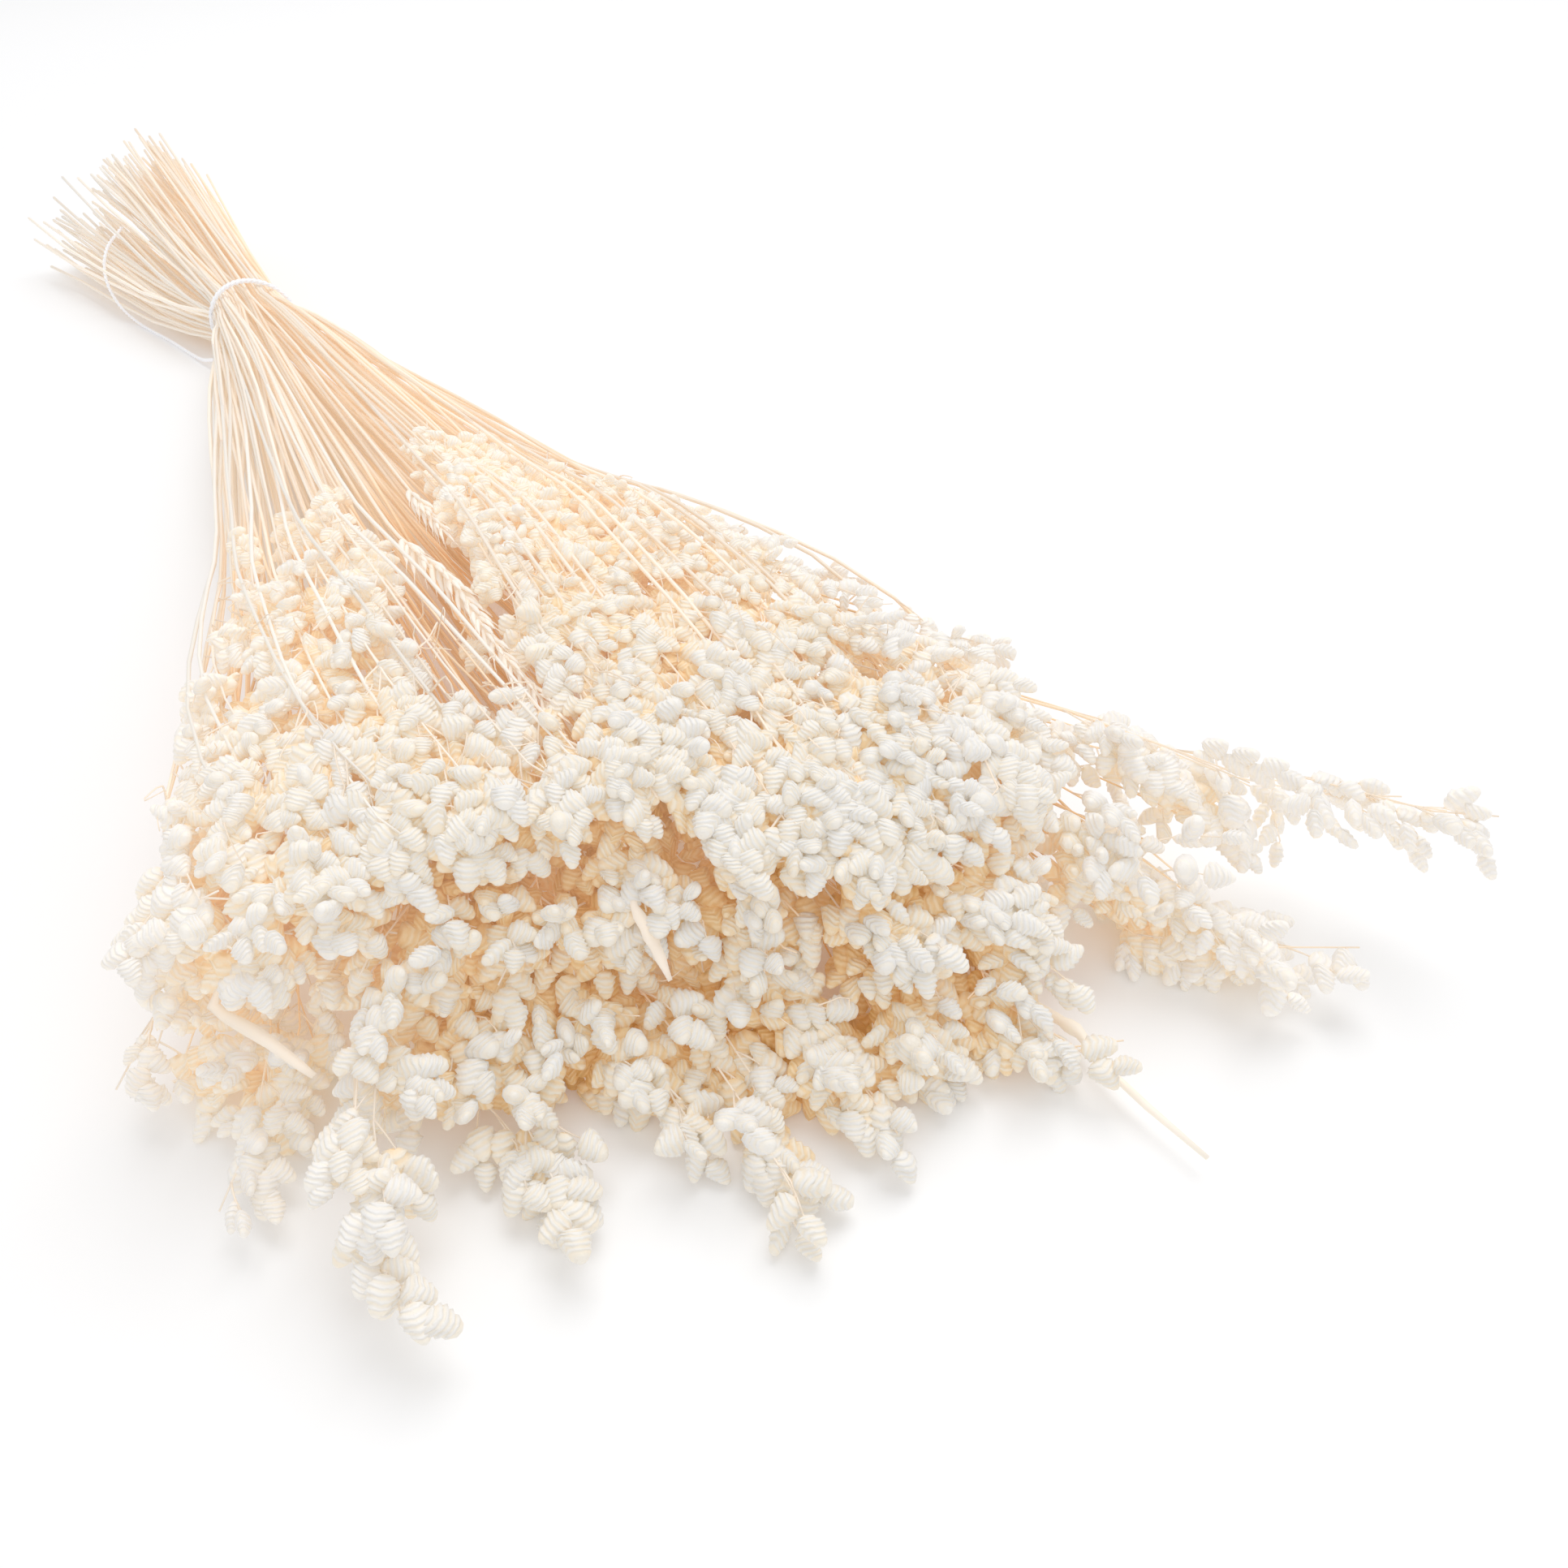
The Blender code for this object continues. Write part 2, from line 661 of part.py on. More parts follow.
def make_tie(name):
    """Turns of string round the bunch, flat where they press on the surface, with the knot."""
    profile = [(-0.5, TIE_INNER)]
    for turn in range(TIE_TURNS):
        for place, height in TIE_CREST:
            profile.append(((turn + place) / TIE_TURNS - 0.5, TIE_INNER + STRING * height))
    profile.append((0.5, TIE_INNER))
    width = STRING * TIE_TURNS
    points, faces = [], []
    for side in range(TIE_SIDES):
        angle = -math.pi / 2 + 2 * math.pi * (side + 0.5) / TIE_SIDES
        for along, reach in profile:
            grown = reach / math.cos(math.pi / TIE_SIDES)
            z = TIE_HEIGHT + grown * math.sin(angle)
            points.append((along * width, grown * math.cos(angle), z if z > TIE_PRESSED else 0.0))
    count = len(profile)
    for side in range(TIE_SIDES):
        base, after = side * count, (side + 1) % TIE_SIDES * count
        for k in range(count):
            step = (k + 1) % count
            faces.append((base + k, after + k, after + step, base + step))
    reach = TIE_OUTER + KNOT_RADIUS / 2
    middle = np.array([0.0, reach * math.cos(KNOT_TURN), TIE_HEIGHT + reach * math.sin(KNOT_TURN)])
    return fuse(name, [(points, faces), knot(middle)])


def knot(middle):
    """The lump of the tie's knot."""
    centres = [middle + np.array([KNOT_RADIUS * share, 0, 0]) for share, _ in KNOT_BANDS]
    return tube(centres, [KNOT_RADIUS * size for _, size in KNOT_BANDS], KNOT_SIDES)


def smooth_route(route, spacing):
    """Points at even spacing on a smooth curve through the route's places."""
    places = np.array(route, float)
    padded = np.vstack([2 * places[0] - places[1], places, 2 * places[-1] - places[-2]])
    fine = []
    for k in range(1, len(padded) - 2):
        before, start, end, after = padded[k - 1:k + 3]
        for t in np.linspace(0, 1, ROUTE_FINE, endpoint=False):
            bend = 2 * before - 5 * start + 4 * end - after
            curl = -before + 3 * start - 3 * end + after
            fine.append(0.5 * (2 * start + (end - before) * t + bend * t * t + curl * t ** 3))
    fine.append(places[-1])
    fine = np.array(fine)
    steps = np.concatenate([[0], np.cumsum(np.linalg.norm(np.diff(fine, axis=0), axis=1))])
    count = max(2, round(steps[-1] / spacing))
    marks = np.linspace(0, steps[-1], count + 1)
    return np.array([[np.interp(m, steps, fine[:, axis]) for axis in range(3)] for m in marks])


def make_string(name):
    """The loose end of the tie string."""
    curve = bpy.data.curves.new(name, "CURVE")
    curve.dimensions = "3D"
    curve.bevel_depth = STRING / 2 * MM
    curve.bevel_resolution = 2
    curve.use_fill_caps = True
    line = curve.splines.new("POLY")
    route = smooth_route(STRING_ROUTE, ROUTE_STEP)
    line.points.add(len(route) - 1)
    for point, place in zip(line.points, route):
        point.co = (*(place * MM), 1.0)
    obj = bpy.data.objects.new(name, curve)
    bpy.context.scene.collection.objects.link(obj)
    return obj


def material(name, colour, roughness):
    """A plain dry finish."""
    made = bpy.data.materials.new(name)
    made.use_nodes = True
    shader = made.node_tree.nodes["Principled BSDF"]
    shader.inputs["Base Color"].default_value = (*colour, 1.0)
    shader.inputs["Roughness"].default_value = roughness
    shader.inputs["Metallic"].default_value = 0.0
    return made


def centre_bunch(objects, left_out):
    """Moves the bunch so that its origin is under the middle of its box."""
    corners = np.array([
        tuple(vertex.co)
        for obj in objects
        if obj not in left_out
        for vertex in obj.data.vertices
    ])
    low, high = corners.min(axis=0), corners.max(axis=0)
    bunch = bpy.data.objects.new("bunch_origin", None)
    bpy.context.scene.collection.objects.link(bunch)
    bunch.location = (-(low[0] + high[0]) / 2, -(low[1] + high[1]) / 2, -low[2])
    for obj in objects:
        obj.parent = bunch


def main():
    for obj in list(bpy.data.objects):
        bpy.data.objects.remove(obj)
    layout = Layout()
    grass = material("bleached_grass", GRASS_COLOUR, 0.8)
    straw = material("pale_straw", STRAW_COLOUR, 0.7)
    cotton = material("white_string", COTTON_COLOUR, 0.9)
    objects = []
    number = 0
    for wisp in range(layout.count):
        if wisp in EAR_PLACES:
            order = EAR_PLACES.index(wisp)
            objects.append(make_ear(layout, wisp, EAR_SPANS[order], f"foreign_ear_{order + 1}"))
            objects[-1].data.materials.append(straw)
        elif wisp == BARE_PLACE:
            objects.append(make_bare_stem(layout, wisp, "bare_stem"))
            objects[-1].data.materials.append(straw)
        else:
            number += 1
            objects.append(make_wisp(layout, wisp, f"wisp_{number:02d}"))
            objects[-1].data.materials.append(grass)
    tie = make_tie("tie")
    string = make_string("tie_string")
    for obj in (tie, string):
        obj.data.materials.append(cotton)
    centre_bunch(objects + [tie, string], [string])


main()
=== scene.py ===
"""Dried lesser quaking grass in a string tie, lying on a pale surface.

Lengths are in millimetres in the bunch's own frame: X runs from the middle of the tie to the heads,
Y across the bunch and Z up from the surface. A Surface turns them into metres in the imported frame.
"""

import logging
import math
from dataclasses import dataclass, field
from enum import Enum
from functools import lru_cache

import bpy
import numpy as np
from mathutils import Matrix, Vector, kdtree


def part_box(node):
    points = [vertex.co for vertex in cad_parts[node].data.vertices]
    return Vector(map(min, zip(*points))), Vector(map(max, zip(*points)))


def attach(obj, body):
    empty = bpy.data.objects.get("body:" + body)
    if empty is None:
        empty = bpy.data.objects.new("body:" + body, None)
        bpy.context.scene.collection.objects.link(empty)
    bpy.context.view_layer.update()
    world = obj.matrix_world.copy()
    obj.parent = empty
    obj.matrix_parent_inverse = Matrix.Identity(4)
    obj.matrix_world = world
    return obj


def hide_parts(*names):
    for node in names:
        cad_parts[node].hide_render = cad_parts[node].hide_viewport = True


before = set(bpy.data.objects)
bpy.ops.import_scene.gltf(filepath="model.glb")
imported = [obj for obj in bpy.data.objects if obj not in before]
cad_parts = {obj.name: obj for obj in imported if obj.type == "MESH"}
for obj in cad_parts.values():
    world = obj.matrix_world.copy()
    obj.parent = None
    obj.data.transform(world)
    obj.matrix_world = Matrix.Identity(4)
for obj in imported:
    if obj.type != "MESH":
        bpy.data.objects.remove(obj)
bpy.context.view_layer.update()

Array = np.ndarray
Table = tuple[tuple[float, ...], ...]
Place = tuple[float, float, float]
Stops = tuple[tuple[float, tuple[float, float, float]], ...]
Shape = tuple[Array, Array, Array]
Inputs = dict[str | int, object]
LOG = logging.getLogger("quaking_grass")
MM = 0.001
UP = np.array([0.0, 0.0, 1.0])
FORWARD = np.array([1.0, 0.0, 0.0])
GOLDEN_TURN = math.radians(137.5)
FAR = 1000.0
NOTHING = 1e-9
STEEP = 0.9
CURVE_STEPS = 24
TWIG_SIDES = 3
SHAPES = 7
TOUCHING = 1e-3
EYE: Place = (439.3, -28.3, 140.0)


def unit(vectors: Array) -> Array:
    """Vectors of length one, along the last axis."""
    return vectors / np.maximum(np.linalg.norm(vectors, axis=-1, keepdims=True), NOTHING)


def kept_share(value: float) -> float:
    """The value, kept between 0 and 1."""
    return float(np.clip(value, 0, 1))


def around(turn: float) -> Array:
    """The direction across and up at a turn round X."""
    return np.array([math.cos(turn), math.sin(turn)])


@lru_cache
def columns_of(table: Table) -> Array:
    """The columns of a table."""
    return np.array(table, float).T


def on_table(table: Table, x: float, column: int = 1) -> float:
    """Reads one column of a table at x, between its rows, which begin with their x in rising order."""
    columns = columns_of(table)
    return float(np.interp(x, columns[0], columns[column]))


def on_line(mark: float | Array, marks: Array, line: Array) -> Array:
    """Where a mark, or each of some, falls on a line whose points have marks in rising order."""
    return np.array([np.interp(mark, marks, column) for column in line.T]).T


def pushed(points: Array, gap: float, share: float) -> Array:
    """Pushes points that stand nearer than a gap away from each other, once.

    Args:
        points: Places across and up.
        gap: The distance that they try to keep.
        share: How much of the way they go.

    Returns:
        The moved points.
    """
    away = points[:, None] - points[None]
    distance = np.linalg.norm(away, axis=2) + np.eye(len(points)) * FAR
    push = np.clip(gap - distance, 0, None) / distance
    return points + share * (away * push[..., None]).sum(axis=1)


@dataclass(frozen=True)
class BunchSizes:
    """Driving sizes of the bunch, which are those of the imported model."""

    # The seats of the wisps and the tie round them
    seed: int = 7
    ring_pitch: float = 3.7
    ring_count: int = 3
    ring_seats: int = 6
    hub_radius: float = 1.68
    hub_half: float = 7.0
    clearance: float = 0.3
    string: float = 1.3
    tie_sides: int = 18
    tie_flat: float = 0.15
    # The outline: distance from the tie, left side, right side and top
    outline: Table = (
        (0, -12.8, 12.8, 27.2),
        (20, -18, 21, 27),
        (100, -27, 38, 30),
        (175, -36, 50, 37),
        (225, -45, 63, 43),
        (260, -54, 75, 46),
        (295, -60, 89, 46),
        (325, -65, 98, 41),
        (348, -66, 104, 32),
        (365, -64, 106, 22),
    )
    # The spread of the wisps inside the outline
    slice_step: float = 5.0
    slice_end: float = 365.0
    reach_end: float = 400.0
    roundness: float = 2.0
    squareness: float = 2.6
    square_run: float = 150.0
    place_noise: float = 0.05
    tie_lift: float = 1.6
    tie_lift_run: float = 40.0
    section_fill: float = 0.87
    spread_rounds: int = 40
    spread_push: float = 0.3
    cell_fill: float = 1.02
    edge_share: float = 0.42
    smooth_rounds: int = 6
    # The heads: where they start, by their share of the width, and where they end
    head_station: float = 225.0
    head_start: Table = (
        (0, 230), (0.2, 222), (0.3, 192), (0.36, 180), (0.42, 240),
        (0.48, 190), (0.6, 175), (0.8, 185), (0.9, 205), (1, 222),
    )
    head_start_spread: float = 6.0
    head_tip: float = 358.0
    head_tip_spread: float = 9.0
    top_tip_drop: float = 16.0
    tip_noise: tuple[float, float] = (-1, 0.4)
    # The free tips, and how the paths of their wisps run out to them
    free_tips: tuple[Place, ...] = (
        (318, -69, 5),
        (344, -60, 5),
        (371, -38, 5),
        (367, -19, 5),
        (361, 4, 5),
        (386, 8, 5),
        (374, 28, 5),
        (373, 48, 5),
        (386, 72, 5),
        (379, 93, 6),
        (385, 116, 8),
        (378, 131, 26),
    )
    free_run: float = 40.0
    wide_run: float = 52.0
    wide_side: float = 100.0
    order_station: float = 315.0
    end_rounds: int = 30
    end_gap: float = 8.0
    end_gap_run: float = 80.0
    end_low: float = 3.4
    end_smoothing: tuple[int, ...] = (3, 1)
    past_tip: float = 12.0
    # The cut ends and their two lobes
    cut_end: float = 155.0
    upper_lobe: tuple[float, float] = (-12.0, 34.0)
    lower_lobe: tuple[float, float] = (-46.0, 11.5)
    upper_spread: float = 1.65
    lower_spread: float = 1.3
    upper_core: float = 0.2
    lower_core: float = -0.7
    lobe_split: float = -0.3
    lobe_turn: float = math.radians(55)
    cut_gap: float = 5.6
    cut_low: float = 2.7
    cut_lift_rate: float = 3.0
    cut_rounds: int = 60
    cut_slices: int = 8
    # The ears and the bare stem
    ear_places: tuple[int, ...] = (20, 19)
    ear_spans: tuple[tuple[float, float], ...] = ((232, 300), (206, 232))
    bare_place: int = 30
    bare_end: Place = (390, 63, 1.2)
    bare_run: float = 110.0
    # How far the heads reach: place across and distance
    front: Table = (
        (-65, 318), (-62, 326), (-50, 335), (-38, 340), (-29, 348), (-12, 346), (-4, 344), (2, 349),
        (18, 352), (23, 362), (28, 370), (40, 370), (60, 369), (81, 374), (90, 376), (104, 377), (117, 373),
    )
    front_slope: float = 34.0
    front_height: float = 42.0
    front_curve: float = 1.3
    front_weight: float = 0.5

    @property
    def tie_inner(self) -> float:
        """Inner radius of the tie."""
        return self.ring_count * self.ring_pitch + self.hub_radius + self.clearance

    @property
    def tie_outer(self) -> float:
        """Outer radius of the tie."""
        return self.tie_inner + self.string

    @property
    def tie_height(self) -> float:
        """Height of the tie's middle."""
        return self.tie_outer - self.tie_flat

    @property
    def tie_reach(self) -> float:
        """Distance from the tie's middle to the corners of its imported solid."""
        return self.tie_outer / math.cos(math.pi / self.tie_sides)


SIZES = BunchSizes()


def packed_origin() -> Array:
    """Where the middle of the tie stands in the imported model's frame, in millimetres."""
    low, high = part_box("tie")
    return np.array([(low.x + high.x) / 2 / MM, high.y / MM - SIZES.tie_reach, 0.0])


class Layout:
    """Paths of the wisps from cut ends to tips, and where their heads start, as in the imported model."""

    def __init__(self, sizes: BunchSizes) -> None:
        """Lays the wisps out.

        Args:
            sizes: The driving sizes of the bunch.
        """
        self.sizes = sizes
        self.rng = np.random.default_rng(sizes.seed)
        self.places = self.tie_places()
        self.count = len(self.places)
        self.stations, paths = self.spread()
        self.paths = paths.transpose(1, 0, 2)
        self.ends: dict[int, Array] = {}
        self.tips = np.zeros(self.count)
        self.starts = np.zeros(self.count)
        self.cut_stations, self.cut_paths = self.cut_side_paths()
        self.plan_heads()
        self.plan_free_sprays()
        self.lay_ends()

    def outline_at(self, x: float) -> tuple[float, float, float]:
        """Left side, right side and top of the bunch at a distance in front of the tie."""
        left, right, top = (on_table(self.sizes.outline, x, column) for column in (1, 2, 3))
        return left, right, top

    def tie_places(self) -> Array:
        """Seats the wisps inside the tie, ring by ring, from the top of each ring.

        Returns:
            The middle of each wisp, across and up.
        """
        sizes = self.sizes
        places = [(0.0, sizes.tie_height)]
        for ring in range(1, sizes.ring_count + 1):
            seats = sizes.ring_seats * ring
            for seat in range(seats):
                turn = math.pi / 2 + 2 * math.pi * seat / seats
                y, z = ring * sizes.ring_pitch * around(turn)
                places.append((y, sizes.tie_height + z))
        return np.array(places)

    def spread(self) -> tuple[Array, Array]:
        """Pushes the wisps apart evenly inside the outline, slice by slice.

        Returns:
            The stations of the slices and the wisps' places across and up at each.
        """
        sizes = self.sizes
        stations = np.arange(0, sizes.slice_end + sizes.slice_step, sizes.slice_step)
        points = self.places + self.rng.uniform(-sizes.place_noise, sizes.place_noise, self.places.shape)
        last_reach = np.full(self.count, np.inf)
        for wisp, span in zip(sizes.ear_places, sizes.ear_spans):
            last_reach[wisp] = span[1] + sizes.past_tip
        last_centre = np.array([0.0, sizes.tie_height])
        last_half = np.ones(2) * sizes.ring_count * sizes.ring_pitch
        rows = []
        for x in stations:
            if x <= sizes.hub_half:
                rows.append(self.places)
                continue
            alive = x < last_reach
            left, right, top = self.outline_at(x)
            low = max(0.0, sizes.tie_lift * (1 - x / sizes.tie_lift_run))
            area = (right - left) * (top - low) * sizes.section_fill
            pitch = math.sqrt(area / alive.sum() * 2 / math.sqrt(3))
            edge = sizes.edge_share * pitch
            centre = np.array([(left + right) / 2, (top + low) / 2])
            half = np.array([(right - left) / 2 - edge, (top - low) / 2 - edge])
            points = centre + (points - last_centre) / last_half * half
            square = sizes.roundness + (sizes.squareness - sizes.roundness) * min(1.0, x / sizes.square_run)
            points[alive] = self.settled(points[alive], centre, half, square, pitch * sizes.cell_fill)
            last_centre, last_half = centre, half
            rows.append(points)
        paths = np.array(rows)
        for _ in range(sizes.smooth_rounds):
            paths[1:-1] = (paths[:-2] + 2 * paths[1:-1] + paths[2:]) / 4
            paths[stations <= sizes.hub_half] = self.places
        return stations, paths

    def settled(self, points: Array, centre: Array, half: Array, square: float, pitch: float) -> Array:
        """Pushes points that stand nearer than the pitch apart, and keeps them inside the section.

        Args:
            points: Places across and up.
            centre: Middle of the section.
            half: Half its width and half its height.
            square: How square it is, as the power of its curve.
            pitch: The distance that the points try to keep.

        Returns:
            The moved points.
        """
        for _ in range(self.sizes.spread_rounds):
            points = pushed(points, pitch, self.sizes.spread_push)
            inside = (points - centre) / half
            reach = (np.abs(inside) ** square).sum(axis=1) ** (1 / square)
            points = centre + inside / np.maximum(reach, 1)[:, None] * half
        return points

    def kept_apart(self, points: Array, gap: float, low: float, rounds: int) -> Array:
        """Pushes points that stand nearer than the gap apart, and keeps them above the surface.

        Args:
            points: Places across and up.
            gap: The distance that they keep.
            low: The lowest height that they may have.
            rounds: How often they are pushed.

        Returns:
            The moved points.
        """
        for _ in range(rounds):
            points = pushed(points, gap, self.sizes.spread_push)
            points[:, 1] = np.maximum(points[:, 1], low)
        return points

    def plan_heads(self) -> None:
        """Gives each wisp the start and the tip of its head."""
        sizes = self.sizes
        left, right, top = self.outline_at(sizes.head_station)
        for wisp in range(self.count):
            y, z = self.flow(wisp, sizes.head_station)
            start = on_table(sizes.head_start, (y - left) / (right - left))
            height = z / top
            self.starts[wisp] = start + self.rng.uniform(-1, 1) * sizes.head_start_spread
            tip = sizes.head_tip - sizes.top_tip_drop * height * height
            self.tips[wisp] = tip + self.rng.uniform(*sizes.tip_noise) * sizes.head_tip_spread

    def plan_free_sprays(self) -> None:
        """Leads the low wisp nearest to each free tip out to it."""
        sizes = self.sizes
        special = set(sizes.ear_places) | {sizes.bare_place}
        for wisp, span in zip(sizes.ear_places, sizes.ear_spans):
            self.tips[wisp] = span[1]
        self.lead_to(sizes.bare_place, sizes.bare_end)
        chosen: list[int] = []
        for tip in sizes.free_tips:
            target = np.array(tip[1:], float)
            near = tip[0] - sizes.free_run
            ranked = sorted(
                (float(np.linalg.norm(self.flow(wisp, near) - target)), wisp)
                for wisp in range(self.count)
                if wisp not in special and wisp not in chosen
            )
            chosen.append(ranked[0][1])
        chosen.sort(key=lambda wisp: self.flow(wisp, sizes.order_station)[0])
        for wisp, tip in zip(chosen, sorted(sizes.free_tips, key=lambda tip: tip[1])):
            self.lead_to(wisp, tip)
        self.free = set(chosen)

    def lead_to(self, wisp: int, tip: Place) -> None:
        """Records a wisp's free tip, to which the end of its path is bent smoothly."""
        self.ends[wisp] = np.array(tip, float)
        self.tips[wisp] = tip[0]

    def lay_ends(self) -> None:
        """Carries the paths on to the free tips, and keeps them apart on the way."""
        sizes = self.sizes
        step = sizes.slice_step
        more = np.arange(sizes.slice_end + step, sizes.reach_end + step, step)
        stations = np.concatenate([self.stations, more])
        paths = np.array([[self.toward_end(wisp, x) for x in stations] for wisp in range(self.count)])
        for smoothings in sizes.end_smoothing:
            for index, x in enumerate(stations):
                here = [wisp for wisp in range(self.count) if x < self.tips[wisp] + sizes.past_tip]
                if x > sizes.head_station and len(here) > 1:
                    gap = sizes.end_gap * min(1.0, (x - sizes.head_station) / sizes.end_gap_run)
                    apart = self.kept_apart(paths[here, index], gap, sizes.end_low, sizes.end_rounds)
                    paths[here, index] = apart
            for _ in range(smoothings):
                paths[:, 3:-1] = (paths[:, 2:-2] + 2 * paths[:, 3:-1] + paths[:, 4:]) / 4
        self.stations, self.paths = stations, paths

    def flow(self, wisp: int, x: float) -> Array:
        """Place of a wisp's axis in front of the tie, across and up."""
        return on_line(x, self.stations, self.paths[wisp])

    def toward_end(self, wisp: int, x: float) -> Array:
        """Leads a wisp's axis over from the plain spread to its free tip.

        Args:
            wisp: The wisp.
            x: The distance from the tie.

        Returns:
            The place of the axis, across and up.
        """
        place = self.flow(wisp, x)
        end = self.ends.get(wisp)
        if end is None:
            return place
        run = self.sizes.wide_run if abs(end[1]) > self.sizes.wide_side else self.sizes.free_run
        if wisp == self.sizes.bare_place:
            run = self.sizes.bare_run
        share = np.clip((x - (end[0] - run)) / run, 0, 1)
        return place + (end[1:] - place) * share * share * (3 - 2 * share)

    def cut_side_paths(self) -> tuple[Array, Array]:
        """Paths from the tie to the cut ends, which part into two lobes.

        Returns:
            The distances behind the tie and the wisps' places across and up at each.
        """
        sizes = self.sizes
        stations = np.linspace(sizes.hub_half, sizes.cut_end, sizes.cut_slices)
        shares = (stations - sizes.hub_half) / (sizes.cut_end - sizes.hub_half)
        goals = np.array([self.cut_goal(home) for home in self.places])
        rows = []
        for share in shares:
            points = self.places + (goals - self.places) * share
            gap = sizes.ring_pitch + (sizes.cut_gap - sizes.ring_pitch) * share
            low = sizes.cut_low * min(1.0, share * sizes.cut_lift_rate)
            rows.append(self.kept_apart(points, gap, low, sizes.cut_rounds) if share else self.places)
        return stations, np.array(rows).transpose(1, 0, 2)

    def cut_goal(self, home: Array) -> Array:
        """Where a stem ends, in the lower or the upper lobe.

        Args:
            home: Its place inside the tie, across and up.

        Returns:
            The place of its cut end, across and up.
        """
        sizes = self.sizes
        middle = np.array([0.0, sizes.tie_height])
        toward = around(sizes.lobe_turn)
        reach = sizes.ring_count * sizes.ring_pitch
        lower = (home - middle) @ toward < sizes.lobe_split * reach
        lobe = np.array(sizes.lower_lobe if lower else sizes.upper_lobe)
        scale = sizes.lower_spread if lower else sizes.upper_spread
        core = middle + toward * reach * (sizes.lower_core if lower else sizes.upper_core)
        return lobe + (home - core) * scale

    def at(self, wisp: int, x: float) -> Array:
        """Where a wisp's axis runs.

        Args:
            wisp: The wisp.
            x: The distance from the tie, below 0 on the side of the cut ends.

        Returns:
            The place of the axis, across and up.
        """
        if x >= 0:
            return self.flow(wisp, x)
        return on_line(-x, self.cut_stations, self.cut_paths[wisp])

    def line(self, wisp: int, stations: Array) -> Array:
        """The points of a wisp's axis at some distances from the tie."""
        return np.array([(x, *self.at(wisp, x)) for x in stations])

    def neighbours(self, wisp: int, x: float) -> Array:
        """Finds the other wisps that reach as far as a distance from the tie.

        Args:
            wisp: The wisp.
            x: The distance.

        Returns:
            The places of their axes, across and up.
        """
        return np.array([
            self.at(other, x)
            for other in range(self.count)
            if other != wisp and x < self.tips[other] + self.sizes.past_tip
        ])

    def outline_width(self, x: float) -> float:
        """Width of the bunch at a distance in front of the tie."""
        left, right, _ = self.outline_at(x)
        return right - left

    def crown(self, x: float, y: float) -> float:
        """Height of the outline over a place.

        Args:
            x: The distance from the tie.
            y: The place across.

        Returns:
            The height.
        """
        left, right, top = self.outline_at(x)
        across = min(1.0, abs(y - (left + right) / 2) / ((right - left) / 2))
        square = self.sizes.squareness
        return top / 2 * (1 + (1 - across ** square) ** (1 / square))

    def depth(self, point: Array) -> float:
        """How deep a point lies under the top, the sides or the front of the heads.

        Args:
            point: A place in the bunch.

        Returns:
            The depth, which is below 0 outside the outline.
        """
        left, right, _ = self.outline_at(point[0])
        front = self.sizes.front_weight * (self.front_at(point[1], point[2]) - point[0])
        return min(self.crown(point[0], point[1]) - point[2], point[1] - left, right - point[1], front)

    def front_at(self, y: float, z: float) -> float:
        """How far the heads reach to the front, which is least at the top."""
        height = min(1.0, max(0.0, z) / self.sizes.front_height)
        return on_table(self.sizes.front, y) - self.sizes.front_slope * height ** self.sizes.front_curve


class Surface:
    """Points and faces of one piece, gathered bit by bit, with the values that its finish reads."""

    def __init__(self) -> None:
        """Starts an empty surface."""
        self.points: list[Array] = []
        self.quads: list[Array] = []
        self.triangles: list[Array] = []
        self.values: dict[str, list[Array]] = {"warm": [], "tone": [], "ridge": [], "through": []}
        self.total = 0

    def add(
        self, shape: Shape, warm: Array | float, tone: float,
        ridge: Array | float = 0.0, through: float = 0.0,
    ) -> None:
        """Adds a shape.

        Args:
            shape: Its points, in millimetres, its four-sided faces and its three-sided ones.
            warm: How warm its colour is, from 0 to 1, for all of it or each point, with painted shade in it
                where the piece lies in shade.
            tone: Its own place in the range of tones, from 0 to 1.
            ridge: How many ridges lie behind each point, a whole number on the crest of one.
            through: How much light comes through it from behind, from 0 to 1.
        """
        points, quads, triangles = shape
        self.points.append(points)
        self.quads.append(quads + self.total)
        self.triangles.append(triangles + self.total)
        for kind, value in (("warm", warm), ("tone", tone), ("ridge", ridge), ("through", through)):
            self.values[kind].append(np.broadcast_to(value, len(points)))
        self.total += len(points)

    def to_piece(self, name: str, node: str, slot: str, finish: bpy.types.Material) -> bpy.types.Object:
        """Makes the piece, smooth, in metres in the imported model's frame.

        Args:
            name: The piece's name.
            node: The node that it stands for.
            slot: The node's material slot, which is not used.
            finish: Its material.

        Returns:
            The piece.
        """
        points = (np.concatenate(self.points) + ORIGIN) * MM
        quads = np.concatenate(self.quads)
        triangles = np.concatenate(self.triangles)
        mesh = bpy.data.meshes.new(name)
        mesh.vertices.add(len(points))
        mesh.vertices.foreach_set("co", points.astype(np.float32).ravel())
        corners = np.concatenate([quads.ravel(), triangles.ravel()]).astype(np.int32)
        first_triangle = 4 * len(quads)
        starts = np.concatenate([
            np.arange(0, first_triangle, 4), np.arange(first_triangle, len(corners), 3),
        ]).astype(np.int32)
        mesh.loops.add(len(corners))
        mesh.loops.foreach_set("vertex_index", corners)
        mesh.polygons.add(len(starts))
        mesh.polygons.foreach_set("loop_start", starts)
        mesh.update(calc_edges=True)
        mesh.validate()
        mesh.shade_smooth()
        for kind, values in self.values.items():
            attribute = mesh.attributes.new(kind, "FLOAT", "POINT")
            attribute.data.foreach_set("value", np.concatenate(values).astype(np.float32))
        mesh.materials.append(finish)
        piece = bpy.data.objects.new(name, mesh)
        bpy.context.scene.collection.objects.link(piece)
        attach(piece, "root")
        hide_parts(node)
        return piece


